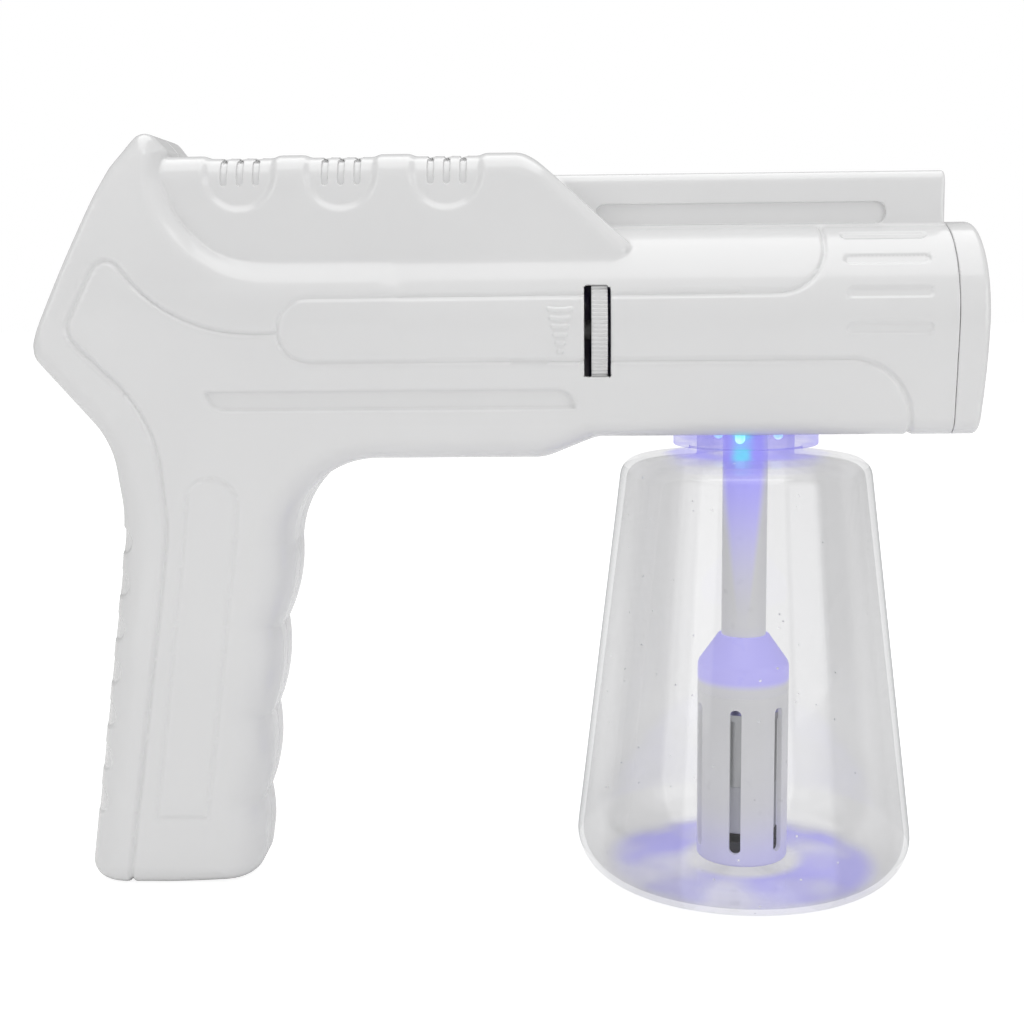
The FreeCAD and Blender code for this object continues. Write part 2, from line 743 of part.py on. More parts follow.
def battery_tray():
    """A trough with end walls that holds both cells."""
    half_x = CELL_SPACING / 2 + CELL_R + 1.2
    block = box(-half_x, half_x, -CELL_R - 1.4, 2.0, -2.0, CELL_LENGTH + 3.4)
    cells = []
    for side in (-1, 1):
        cells.append(rod_z(CELL_R + GAP, -0.2, CELL_LENGTH + 1.4, side * CELL_SPACING / 2))
    pocket = box(-half_x + 1.2, half_x - 1.2, 0.0, 10.0, -0.2, CELL_LENGTH + 1.4)
    tray = on_handle(block.cut(cells + [pocket]))
    return tray.translate(Vector(BATTERY_X, 0, 24.0))


def battery_board():
    """The protection board, above the cells."""
    board = box(-17.0, 17.0, -7.0, 7.0, 0.0, 1.6)
    chip = box(-5.0, 5.0, -3.0, 3.0, 1.0, 3.0)
    return on_handle(fused([board, chip])).translate(Vector(BATTERY_X + 9.4, 0, 93.6))


def battery_lead():
    return cord(
        [(-169.7, 5.5, 98), (-171.7, 7, 108), (-174, 8, 120), (-171, 8, 140), (-162, 7, 156), (-152.5, 4.5, 164)],
        1.1,
    )


# ---------------------------------------------------------------- bottle
def bottle():
    """The clear bottle: rounded foot, cone, shoulder, flange and threaded neck."""
    outer = [
        (0.0, 1.3, 0),
        (31.0, 1.3, 2.0),
        (34.5, 0.0, 2.0),
        (BODY_R, 0.0, 13.0),
        (SHOULDER_R, SHOULDER_Z, 6.0),
        (NECK_R, NECK_Z, 1.0),
        (NECK_R, FLANGE_Z[0], 0.3),
        (FLANGE_R, FLANGE_Z[0], 0.6),
        (FLANGE_R, FLANGE_Z[1], 0.6),
        (FINISH_R, FLANGE_Z[1], 0.3),
        (FINISH_R, FINISH_TOP, 0.4),
        (MOUTH_R, FINISH_TOP, 0.4),
    ]
    inner = [
        (MOUTH_R, NECK_Z - 1.9, 1.5),
        (SHOULDER_R - BOTTLE_WALL - 0.2, SHOULDER_Z - 1.8, 4.6),
        (BODY_R - BOTTLE_WALL - 0.2, 1.9, 11.2),
        (34.0, 1.9, 2.0),
        (30.5, 3.1, 2.0),
        (0.0, 3.1, 0),
    ]
    ridge = thread(
        [(FINISH_R - 0.3, -1.1), (MALE_CREST_R, -0.4), (MALE_CREST_R, 0.4), (FINISH_R - 0.3, 1.1)],
        THREAD_START,
    )
    return fused([turned_z(outer + inner), ridge])


def bottle_gasket():
    return ring_z(FEMALE_CREST_R - 0.2, MOUTH_R + 0.2, FINISH_TOP + 0.02, SOCKET_ROOF[0] - 0.02)


def bottle_socket():
    """The threaded collar that the bottle screws into."""
    wall = ring_z(SOCKET_R, FEMALE_ROOT_R, BARREL_BOTTOM + WALL + 0.1, SOCKET_ROOF[0] + 0.5)
    lip = ring_z(SOCKET_LIP_R, FEMALE_ROOT_R, BARREL_BOTTOM - 0.1, SOCKET_ROOF[0])
    roof = ring_z(SOCKET_R, TUBE_R + RUN, *SOCKET_ROOF)
    lamp_holder = ring_z(LAMP_BOARD_R, LAMP_BOARD_R - 1.4, LAMP_BOARD_Z + 1.35, SOCKET_ROOF[0] + 0.5)
    ridge = thread(
        [(FEMALE_ROOT_R + 0.3, -1.0), (FEMALE_CREST_R, -0.35), (FEMALE_CREST_R, 0.35), (FEMALE_ROOT_R + 0.3, 1.0)],
        THREAD_START + THREAD_PITCH / 2,
    )
    return fused([wall, lip, roof, ridge, lamp_holder])


def neck_light_board():
    return ring_z(LAMP_BOARD_R, 7.6, LAMP_BOARD_Z, LAMP_BOARD_Z + 1.3)


def neck_lights():
    """Three blue lamps under the board."""
    lamps = []
    top = LAMP_BOARD_Z - 0.03
    for angle in LAMP_ANGLES:
        x = LAMP_PITCH_R * math.cos(math.radians(angle))
        y = LAMP_PITCH_R * math.sin(math.radians(angle))
        lamp = rod_z(1.5, top - 2.2, top, x, y)
        dome = Part.makeSphere(1.5, Vector(x, y, top - 2.2))
        lamps.append(fused([lamp, dome]))
    return Part.makeCompound(lamps)


# ---------------------------------------------------------------- intake and pump
def intake_tube():
    """The dry tube that carries the hose and the lead down to the pump."""
    tube = ring_z(TUBE_R, TUBE_BORE_R, *TUBE_Z)
    collar = ring_z(9.0, TUBE_BORE_R, SOCKET_ROOF[1] + 0.05, SOCKET_ROOF[1] + 2.0)
    return fused([tube, collar])


def pump_dome():
    """The flared cap that joins the tube to the cage."""
    profile = [
        (TUBE_R + RUN, DOME_Z[1], 0),
        (TUBE_R + 1.0, DOME_Z[1], 0.4),
        (CAGE_R, DOME_Z[0] + 8.6, 4.0),
        (CAGE_R, DOME_Z[0], 0),
        (CAGE_R - CAGE_WALL, DOME_Z[0], 0),
        (CAGE_R - CAGE_WALL, DOME_Z[0] + 6.6, 2.0),
        (TUBE_BORE_R, TUBE_Z[0] - 0.4, 0),
        (TUBE_R + RUN, TUBE_Z[0] - 0.1, 0),
    ]
    return turned_z(profile)


def pump_cage():
    """A sleeve with six long slots and a closed bottom."""
    sleeve = turned_z(
        [
            (0.0, CAGE_Z[0], 0),
            (CAGE_R, CAGE_Z[0], 1.0),
            (CAGE_R, CAGE_Z[1], 0),
            (CAGE_R - CAGE_WALL, CAGE_Z[1], 0),
            (CAGE_R - CAGE_WALL, CAGE_Z[0] + 1.6, 0),
            (0.0, CAGE_Z[0] + 1.6, 0),
        ]
    )
    slot = slab_x(rectangle(-SLOT_WIDTH / 2, SLOT_WIDTH / 2, *SLOT_Z, 1.7), CAGE_R - 3.0, CAGE_R + 1.0)
    return sleeve.cut(around(slot, SLOT_COUNT, ORIGIN, Z_AXIS, SLOT_ANGLE))


def pump_motor():
    """The sealed motor, with the hose outlet on top."""
    can = rod_z(PUMP_R, 29.0, 52.0)
    outlet = rod_z(HOSE_BORE_R - 0.05, 51.0, 60.0, 2.4)
    foot = ring_z(CAGE_R - CAGE_WALL - RUN, PUMP_R - 1.0, 50.0, 52.0)
    shaft_hole = rod_z(0.8 + RUN, 28.0, 36.0)
    return fused([can, outlet, foot]).cut(shaft_hole)


def pump_chamber():
    """The round chamber under the motor that the impeller turns in."""
    return turned_z(
        [
            (1.8, 14.0, 0),
            (PUMP_R, 14.0, 0.6),
            (PUMP_R, 28.95, 0),
            (8.2, 28.95, 0),
            (8.2, 16.0, 0),
            (1.8, 16.0, 0),
        ]
    )


def pump_impeller():
    """A disc with six vanes on the pump's shaft."""
    disc = rod_z(7.4, 20.0, 21.5)
    shaft = rod_z(0.8, 20.5, 35.5)
    vane = box(2.0, 7.2, -0.5, 0.5, 17.0, 20.5)
    return fused([disc, shaft, rod_z(2.2, 17.0, 22.5)] + around(vane, 6, ORIGIN, Z_AXIS))


def inlet_filter():
    return ring_z(CAGE_R - CAGE_WALL - 0.1, 3.0, 8.0, 12.0)


def liquid_hose():
    """The hose from the pump, up the tube and under the fan to the nozzle."""
    points = [
        (2.4, 0, 53.0),
        (2.4, 0, 150.0),
        (3.6, 0, 162.5),
        (10.0, 0, 167.0),
        (17.5, 0, 164.0),
        (23.6, 0, 156.0),
        (26.5, 0, 148.3),
        (32.4, 0, 143.8),
        (41.0, 0, 143.4),
        (47.0, 0, 144.2),
        (51.6, 0, 148.4),
        (53.0, 0, 155.0),
        (53.0, 0, 162.6),
    ]
    return cord(points, HOSE_R).cut(cord(points, HOSE_BORE_R))


def pump_lead():
    """The cable from the driver electronics down the tube to the motor."""
    return cord([(-2.4, 0, 52.1), (-2.4, 0, 150), (-4, 0, 162), (-12, 0, 166.5), (-20, 0, 169)], 1.0)


# ---------------------------------------------------------------- build
def build():
    right, left = shells()
    return {
        "right_shell": right,
        "left_shell": left,
        "shell_screws": shell_screws(),
        "front_cap": front_cap(),
        "outlet_grille": outlet_grille(),
        "nozzle_body": nozzle_body(),
        "nozzle_tip": nozzle_tip(),
        "electrode_ring": electrode_ring(),
        "fan_housing": fan_housing(),
        "fan_motor": fan_motor(),
        "fan_rotor": fan_rotor(),
        "high_voltage_module": high_voltage_module(),
        "high_voltage_lead": high_voltage_lead(),
        "flow_potentiometer": flow_potentiometer(),
        "flow_wheel": flow_wheel(),
        "driver_board": driver_board(),
        "control_board": control_board(),
        "rear_panel": rear_panel(),
        "power_button": power_button(),
        "button_switch": button_switch(),
        "status_lens": status_lens(),
        "charging_port": charging_port(),
        "battery_cell_rear": battery_cell(-1),
        "battery_cell_front": battery_cell(1),
        "battery_tray": battery_tray(),
        "battery_board": battery_board(),
        "battery_lead": battery_lead(),
        "bottle": bottle(),
        "bottle_gasket": bottle_gasket(),
        "bottle_socket": bottle_socket(),
        "neck_light_board": neck_light_board(),
        "neck_lights": neck_lights(),
        "intake_tube": intake_tube(),
        "pump_dome": pump_dome(),
        "pump_cage": pump_cage(),
        "pump_motor": pump_motor(),
        "pump_chamber": pump_chamber(),
        "pump_impeller": pump_impeller(),
        "inlet_filter": inlet_filter(),
        "liquid_hose": liquid_hose(),
        "pump_lead": pump_lead(),
    }


os.makedirs("parts", exist_ok=True)
for name, shape in build().items():
    shape.exportStep("parts/" + name + ".step")
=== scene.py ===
import math

import bpy
import numpy as np
from mathutils import Matrix, Vector


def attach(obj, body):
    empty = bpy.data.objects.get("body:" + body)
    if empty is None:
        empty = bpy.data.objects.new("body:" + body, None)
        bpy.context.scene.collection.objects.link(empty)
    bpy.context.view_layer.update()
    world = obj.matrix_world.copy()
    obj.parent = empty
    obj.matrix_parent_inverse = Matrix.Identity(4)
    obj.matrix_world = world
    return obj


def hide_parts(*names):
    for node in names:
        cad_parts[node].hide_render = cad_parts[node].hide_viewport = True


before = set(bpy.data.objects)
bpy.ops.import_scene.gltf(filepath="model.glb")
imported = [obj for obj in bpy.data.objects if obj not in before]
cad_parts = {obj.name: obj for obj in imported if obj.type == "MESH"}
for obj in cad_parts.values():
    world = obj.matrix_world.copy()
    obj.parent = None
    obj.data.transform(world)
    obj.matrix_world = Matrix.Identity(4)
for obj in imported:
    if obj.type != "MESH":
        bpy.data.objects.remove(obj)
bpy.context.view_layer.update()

MM = 0.001

# ------------------------------------------------------------------ dimensions (mm)
WALL = 2.4
BARREL_R = 28.0
BARREL_Z = 171.4
BARREL_BOTTOM = 138.2
BARREL_LEAN = math.radians(7.2)
BARREL_FRONT = 57.0
BARREL_MIDDLE = -63.0
HANDLE_HALF = 19.5
HUMP_HALF = 20.3
HUMP_TOP = 221.6
RAIL_HALF = 7.5
RAIL_TOP = 214.2
RAIL_MIDDLE = -3.6
RAIL_HALF_LENGTH = 60.0
RAIL_WEB_HALF = 6.3
AIR_Z = 169.0
OPENING_R = 21.0
CAP_FRONT = 66.5
WINDOW_X = (-49.1, -41.5)
WINDOW_Z = (156.5, 180.9)
VENT_STEP = 4.7
MESH_STEP = VENT_STEP / 4
VENTS_X = (-148.3, -148.3 + 25 * MESH_STEP, -148.3 + 51 * MESH_STEP)
SCREW_POSTS = (
    (-182.0, 13.0),
    (-160.0, 108.0),
    (-191.0, 153.0),
    (-118.0, 139.0),
    (-66.0, 141.0),
    (-148.0, 207.0),
    (-76.0, 207.0),
    (24.0, 193.2),
)
POST_R = 4.1
SCREW_HOLE_R = 1.5
SCREW_HEAD_R = 2.9
SCREW_SEAT = 6.0
SOCKET_HOLE_R = 19.65
SOCKET_HOLE_TOP = 145.0
WHEEL_AXIS = (-7.0, 168.7)
WHEEL_POCKET_R = 22.4
POCKET_SKIN = 1.25
PANEL_HALF_UP = 23.15
PANEL_HALF_SIDE = 15.65
PANEL_CORNER = 6.15
SCOOP_R = 9.3
SCOOP_LOW = 203.0
SLOT_HALF = 0.95
SLOT_DEPTH = 2.25
SYMBOL_X = -56.0
DIMPLE_COUNT = 7
DIMPLE_STEP = 13.5
BOTTLE_FOOT_R = 52.9
BOTTLE_SHOULDER_R = 37.4
BOTTLE_SHOULDER_Z = 129.3
REAR_LOW = (-208.3, 168.0)
REAR_HIGH = (-182.3, 224.2)


# ------------------------------------------------------------------ fields: below zero inside
def smoothstep(low, high, value):
    """0 below low, 1 above high and a smooth curve between."""
    t = np.clip((value - low) / (high - low), 0.0, 1.0)
    return t * t * (3.0 - 2.0 * t)


def meet(a, b, radius):
    """What two fields share, with the edge between them rounded."""
    corner = np.hypot(np.maximum(a + radius, 0.0), np.maximum(b + radius, 0.0))
    return np.minimum(np.maximum(a, b), -radius) + corner


def join(a, b, radius):
    """Both fields together, with a fillet in the corner between them."""
    nearest = np.minimum(a, b)
    deep = smoothstep(-0.2, -1.0, nearest)
    return nearest * deep - meet(-a, -b, radius) * (1.0 - deep)


def rounded(corners, closed=True):
    """The points of an outline whose (a, b, radius) corners are rounded."""
    points = []
    count = len(corners)
    for i in range(count):
        a, b, radius = corners[i]
        here = np.array([a, b])
        if radius <= 0 or (not closed and i in (0, count - 1)):
            points.append(here)
            continue
        to_last = np.array(corners[i - 1][:2]) - here
        to_next = np.array(corners[(i + 1) % count][:2]) - here
        to_last /= np.linalg.norm(to_last)
        to_next /= np.linalg.norm(to_next)
        half = math.acos(np.clip(to_last @ to_next, -1, 1)) / 2
        start = here + to_last * radius / math.tan(half)
        bisector = (to_last + to_next) / np.linalg.norm(to_last + to_next)
        centre = here + bisector * radius / math.sin(half)
        sweep = math.pi - 2 * half
        turn = -1.0 if to_last[0] * to_next[1] - to_last[1] * to_next[0] > 0 else 1.0
        steps = max(3, int(radius * sweep / 1.1))
        spoke = start - centre
        for k in range(steps + 1):
            angle = turn * sweep * k / steps
            c, s = math.cos(angle), math.sin(angle)
            points.append(centre + np.array([c * spoke[0] - s * spoke[1], s * spoke[0] + c * spoke[1]]))
    return np.array(points)


class SideMap:
    """Distance to an outline in the X-Z plane, sampled on a fine grid."""

    LOW = (-226.0, -8.0)
    STEP = 0.4
    SIZE = (735, 612)

    def __init__(self, points, closed=True):
        a = (self.LOW[0] + self.STEP * np.arange(self.SIZE[0]))[:, None]
        b = (self.LOW[1] + self.STEP * np.arange(self.SIZE[1]))[None, :]
        best = np.full(self.SIZE, 1e9)
        inside = np.zeros(self.SIZE, bool)
        last = len(points) if closed else len(points) - 1
        for i in range(last):
            (a0, b0), (a1, b1) = points[i], points[(i + 1) % len(points)]
            da, db = a1 - a0, b1 - b0
            along = np.clip(((a - a0) * da + (b - b0) * db) / max(da * da + db * db, 1e-12), 0, 1)
            best = np.minimum(best, (a - a0 - along * da) ** 2 + (b - b0 - along * db) ** 2)
            if closed and abs(db) > 1e-9:
                inside ^= ((b0 <= b) != (b1 <= b)) & (a < a0 + (b - b0) * da / db)
        distance = np.sqrt(best)
        self.values = np.where(inside, -distance, distance).astype(np.float32)

    def at(self, a, b):
        u = np.clip((a - self.LOW[0]) / self.STEP, 0, self.SIZE[0] - 1.001)
        v = np.clip((b - self.LOW[1]) / self.STEP, 0, self.SIZE[1] - 1.001)
        i, j = u.astype(np.int32), v.astype(np.int32)
        u, v = u - i, v - j
        grid = self.values
        low = grid[i, j] * (1 - u) + grid[i + 1, j] * u
        high = grid[i, j + 1] * (1 - u) + grid[i + 1, j + 1] * u
        return low * (1 - v) + high * v


def handle_rear(z):
    """X of the handle's rear line at height z."""
    return -203.9 + 0.14 * z


def finger_outline():
    """The wavy front of the handle, from top to bottom."""
    points = []
    cusps = [(-136.9, 105.5), (-141.9, 79.7), (-145.6, 52.0), (-149.0, 24.9), (-151.6, -2.0)]
    rise = 1.9
    for (x0, z0), (x1, z1) in zip(cusps[:-1], cusps[1:]):
        for k in range(12 if z1 > 0 else 6):
            t = k / 12
            bulge = 4 * rise * t * (1 - t)
            points.append((x0 + (x1 - x0) * t + bulge, z0 + (z1 - z0) * t, 0))
    return points


BODY_SIDE = SideMap(
    rounded(
        [
            (-209.0, 166.5, 6),
            (-185.6, 217.0, 14),
            (-176.2, 229.2, 4.2),
            (-170.1, 221.9, 1.5),
            (-170.1, 189.7, 27.3),
            (-104.0, 189.6, 2),
            (-96.0, 168.0, 8),
            (-30.0, 160.0, 0),
            (-30.0, 138.25, 0),
            (-45.0, 138.25, 14),
            (-60.5, 131.9, 14),
            (-133.8, 131.9, 26.8),
        ]
        + finger_outline()
        + [(-150.8, -4.0, 11.0), (-170.0, -9.5, 0), (-170.0, -24.0, 0), (-207.3, -24.0, 0)]
        + [(-187.6, 116.5, 40), (-188.6, 137.0, 24), (-209.6, 162.3, 4.5)]
    )
)
HUMP_SIDE = SideMap(
    rounded(
        [
            (-174.0, 180.0, 0),
            (-174.0, HUMP_TOP, 3),
            (-66.6, HUMP_TOP, 6),
            (-34.2, 192.3, 3),
            (-42.0, 180.0, 0),
        ]
    )
)
RAIL_SLOT = SideMap(
    rounded([(-45.5, 199.0, 1.5), (39.3, 199.0, 2.6), (39.3, 205.3, 2.6), (-45.5, 205.3, 2.6)])
)
PILL_LINE = SideMap(
    rounded(
        [
            (20.4, 203.0, 0),
            (19.6, 179.3, 14),
            (-137.3, 178.9, 9),
            (-137.3, 160.6, 9),
            (44.0, 160.3, 18),
            (44.6, 138.0, 0),
        ],
        closed=False,
    ),
    closed=False,
)
PANEL_LINE = SideMap(
    rounded(
        [
            (-137.6, 169.0, 0),
            (-167.5, 169.0, 46),
            (-186.8, 194.0, 4.5),
            (-199.3, 169.8, 6),
            (-174.6, 144.6, 42),
            (-173.0, 112.0, 60),
            (-189.8, -3.0, 0),
        ],
        closed=False,
    ),
    closed=False,
)
GRIP_LINE = SideMap(
    rounded([(-165.9, 126.5, 7.2), (-150.6, 126.5, 7.2), (-164.4, 22.0, 0), (-179.9, 22.0, 0)])
)
LOWER_RECESS = SideMap(
    rounded([(-159.4, 152.7, 0.8), (-51.5, 152.7, 6), (-51.3, 146.2, 0.8), (-159.4, 146.2, 6)])
)


def barrel_section(across, z):
    """The barrel's round-topped section."""
    circle = np.hypot(across, z - BARREL_Z) - BARREL_R
    normal = (math.cos(BARREL_LEAN), -math.sin(BARREL_LEAN))
    wall = across * normal[0] + (z - BARREL_Z) * normal[1] - BARREL_R
    below = (z - BARREL_Z) < -across * math.tan(BARREL_LEAN)
    return meet(np.where(below, wall, circle), BARREL_BOTTOM - z, 5.0)


def body_half(z):
    """Half the width of the handle and the rear block."""
    lift = z - 167.9
    lower = 8.3 + 0.1263 * lift
    lower = HANDLE_HALF + (lower + np.sqrt(lower * lower + 0.36)) / 2
    upper = 27.8 + 0.1263 * lift - 0.0044 * lift * lift
    return np.where(lift < 0, lower, upper)


def rear_face_up():
    """The upward direction along the slanted rear face."""
    rise = (REAR_HIGH[0] - REAR_LOW[0], REAR_HIGH[1] - REAR_LOW[1])
    length = math.hypot(*rise)
    return rise[0] / length, rise[1] / length


def rear_distance(x, z):
    """How far a point lies inside the slanted rear face."""
    up = rear_face_up()
    return (x - REAR_LOW[0]) * up[1] - (z - REAR_LOW[1]) * up[0]


def plain_casing(x, across, z):
    """The outer form without fine detail."""
    barrel = meet(barrel_section(across, z), np.abs(x - BARREL_MIDDLE) - (BARREL_FRONT - BARREL_MIDDLE), 0.3)
    edge = 13.0 - 6.5 * smoothstep(96.0, 140.0, z)
    from_rear = rear_distance(x, z)
    edge = edge - 4.5 * smoothstep(160.0, 172.0, z) * smoothstep(14.0, 5.0, from_rear)
    edge = edge + 3.0 * smoothstep(206.0, 222.0, z)
    flank = (across - body_half(z)) * 0.99
    round_top = np.hypot(across, z - BARREL_Z) - BARREL_R
    into_barrel = smoothstep(-166.0, -136.0, x) * smoothstep(171.0, 176.0, z)
    flank = flank + (round_top - flank) * into_barrel
    body = meet(BODY_SIDE.at(x, z), flank, edge)
    body = meet(body, -z, 6.5)
    shape = join(body, barrel, 0.01 + 3.0 * smoothstep(171.0, 182.0, z))
    draft = 0.06 * (215.0 - z)
    hump = meet(HUMP_SIDE.at(x, z), meet(across - HUMP_HALF - draft, z - HUMP_TOP, 9.0), 4.5)
    shape = join(shape, hump, 0.7)
    bar = meet(across - RAIL_HALF, z - RAIL_TOP, 3.5)
    bar = meet(bar, np.abs(x - RAIL_MIDDLE) - RAIL_HALF_LENGTH, 0.8)
    bar = np.maximum(bar, 180.0 - z)
    bar = meet(bar, -np.maximum(RAIL_SLOT.at(x, z), RAIL_WEB_HALF - across), 0.5)
    return join(shape, bar, 1.0)


def capsule(a, b, a0, a1, b0, b1):
    """Distance to a line from (a0, b0) to (a1, b1)."""
    da, db = a1 - a0, b1 - b0
    along = np.clip(((a - a0) * da + (b - b0) * db) / (da * da + db * db), 0, 1)
    return np.hypot(a - a0 - along * da, b - b0 - along * db)


def groove(distance, half, depth):
    """Depth of a soft groove at a distance from its middle line."""
    return depth * np.exp(-((distance / half) ** 2))


def fine_detail(x, across, z):
    """How deep the surface is drawn in by its grooves and recesses."""
    side = smoothstep(7.6, 9.0, across) * smoothstep(60.0, 56.0, x)
    depth = groove(PILL_LINE.at(x, z), 0.7, 0.8)
    depth = np.maximum(depth, groove(PANEL_LINE.at(x, z), 0.75, 0.9))
    depth = np.maximum(depth, groove(GRIP_LINE.at(x, z), 0.65, 0.4))
    depth = np.maximum(depth, 1.4 * smoothstep(0.4, -1.3, LOWER_RECESS.at(x, z)))
    arc = BARREL_R * np.arctan2(z - BARREL_Z, across)
    for k in range(4):
        middle = BARREL_R * math.radians(-4.8 + 21.4 * k)
        pill = capsule(x, arc, 26.8, 48.2, middle, middle + 0.001) - 1.6
        depth = np.maximum(depth, 0.55 * smoothstep(0.45, -0.6, pill))
    depth = depth * side
    corner = smoothstep(7.0, 10.0, across)
    for k in range(DIMPLE_COUNT):
        middle = 26.0 + DIMPLE_STEP * k
        dimple = np.hypot(x - handle_rear(middle) - 0.5, z - middle) - 4.1
        depth = np.maximum(depth, 0.6 * corner * smoothstep(0.35, -0.6, dimple))
    return depth


def flow_symbol(x, across, z):
    """A dot under five widening bars, raised beside the flow wheel."""
    height = 0.0
    for k in range(6):
        half = 0.3 + 0.55 * k
        sag = 0.03 * (x - SYMBOL_X) ** 2
        middle = 163.2 + 2.35 * k
        bar = capsule(x, z - sag, SYMBOL_X - half, SYMBOL_X + half, middle, middle + 0.001)
        height = np.maximum(height, 0.4 * smoothstep(0.95, 0.35, bar))
    return height * smoothstep(20.0, 22.0, across)


def vent_scoop(x, z, centre):
    """A U-shaped opening, round at the bottom and open at the top."""
    return np.hypot(x - centre, np.minimum(z - 214.6, 0.0)) - SCOOP_R


def vent_slot(x, z, centre):
    """An upright slot with round ends."""
    return np.hypot(x - centre, z - np.clip(z, 212.2, 217.8)) - SLOT_HALF


def rear_opening(x, y, z):
    """A rounded rectangle across the rear face, run straight through the wall."""
    up = rear_face_up()
    centre = ((REAR_LOW[0] + REAR_HIGH[0]) / 2, (REAR_LOW[1] + REAR_HIGH[1]) / 2)
    a = (x - centre[0]) * up[0] + (z - centre[1]) * up[1]
    out = -(x - centre[0]) * up[1] + (z - centre[1]) * up[0]
    da = np.abs(a) - PANEL_HALF_UP + PANEL_CORNER
    db = np.abs(y) - PANEL_HALF_SIDE + PANEL_CORNER
    edge = np.hypot(np.maximum(da, 0), np.maximum(db, 0)) + np.minimum(np.maximum(da, db), 0)
    return np.maximum(edge - PANEL_CORNER, -6.0 - out)


def shell_field(x, y, z, side):
    """One half shell; side is -1 for the right one and +1 for the left one."""
    across = np.abs(y)
    plain = plain_casing(x, across, z)
    outer = plain + fine_detail(x, across, z)
    if side < 0:
        outer = outer - flow_symbol(x, across, z)
    scoop_depth = 0.6 + 0.6 * smoothstep(11.0, 17.0, across)
    for centre in VENTS_X:
        scoop = meet(vent_scoop(x, z, centre), -(plain + scoop_depth), 0.8)
        scoop = np.maximum(scoop, SCOOP_LOW - z)
        outer = meet(outer, -scoop, 2.4)
    backing = 1.6 * smoothstep(3.0, 1.0, LOWER_RECESS.at(x, z))
    for centre in VENTS_X:
        backing = np.maximum(backing, 3.2 * smoothstep(4.0, 1.5, vent_scoop(x, z, centre)))
    cavity = plain + WALL + backing
    for post_x, post_z in SCREW_POSTS:
        cavity = np.maximum(cavity, POST_R - np.hypot(x - post_x, z - post_z))
    shell = np.maximum(outer, -cavity)
    for centre in VENTS_X:
        for k in (-1, 0, 1):
            slot = np.maximum(vent_slot(x, z, centre + VENT_STEP * k), -(plain + SLOT_DEPTH))
            shell = meet(shell, -slot, 0.25)
    socket = np.maximum(np.hypot(x, y) - SOCKET_HOLE_R, z - SOCKET_HOLE_TOP)
    shell = meet(shell, -socket, 0.4)
    shell = meet(shell, -rear_opening(x, y, z), 0.3)
    if side < 0:
        window_x = np.abs(x - sum(WINDOW_X) / 2) - (WINDOW_X[1] - WINDOW_X[0]) / 2
        window_z = np.abs(z - sum(WINDOW_Z) / 2) - (WINDOW_Z[1] - WINDOW_Z[0]) / 2
        window_z = window_z - np.clip(-plain, 0.0, 1.3)
        window = np.maximum(np.maximum(window_x, window_z), 15.0 - across)
        shell = meet(shell, -window, 0.25)
        pocket = np.hypot(y - WHEEL_AXIS[0], z - WHEEL_AXIS[1]) - WHEEL_POCKET_R
        pocket = np.maximum(pocket, window_x)
        shell = np.maximum(shell, -np.maximum(pocket, plain + POCKET_SKIN))
    else:
        for post_x, post_z in SCREW_POSTS:
            from_axis = np.hypot(x - post_x, z - post_z)
            seat = np.maximum(from_axis - SCREW_HEAD_R, SCREW_SEAT - across)
            hole = np.minimum(from_axis - SCREW_HOLE_R, seat)
            shell = meet(shell, -hole, 0.3)
    shell = meet(shell, x - BARREL_FRONT + 0.03, 0.15)
    return meet(shell, -side * y + 0.04, 0.25)


def cap_field(x, y, z):
    """The cap that closes the barrel."""
    across = np.abs(y)
    section = barrel_section(across, z)
    dome = x - CAP_FRONT + 0.0016 * ((z - BARREL_Z) ** 2 + 0.6 * y * y)
    outer = meet(meet(section, dome, 1.8), BARREL_FRONT + 0.08 - x, 0.15)
    plug = np.maximum(section + WALL + 0.15, 52.0 - x)
    outer = np.minimum(outer, np.maximum(plug, x - 60.0))
    cavity = np.maximum(section + WALL + 1.8, x - CAP_FRONT + 4.0)
    from_axis = np.hypot(y, z - AIR_Z)
    duct = np.maximum(from_axis - 22.4, 56.0 - x)
    cavity = np.maximum(cavity, -duct)
    shell = np.maximum(outer, -cavity)
    mouth = from_axis - OPENING_R - 0.35 * np.maximum(x - CAP_FRONT + 5.0, 0.0)
    return meet(shell, -mouth, 0.8)


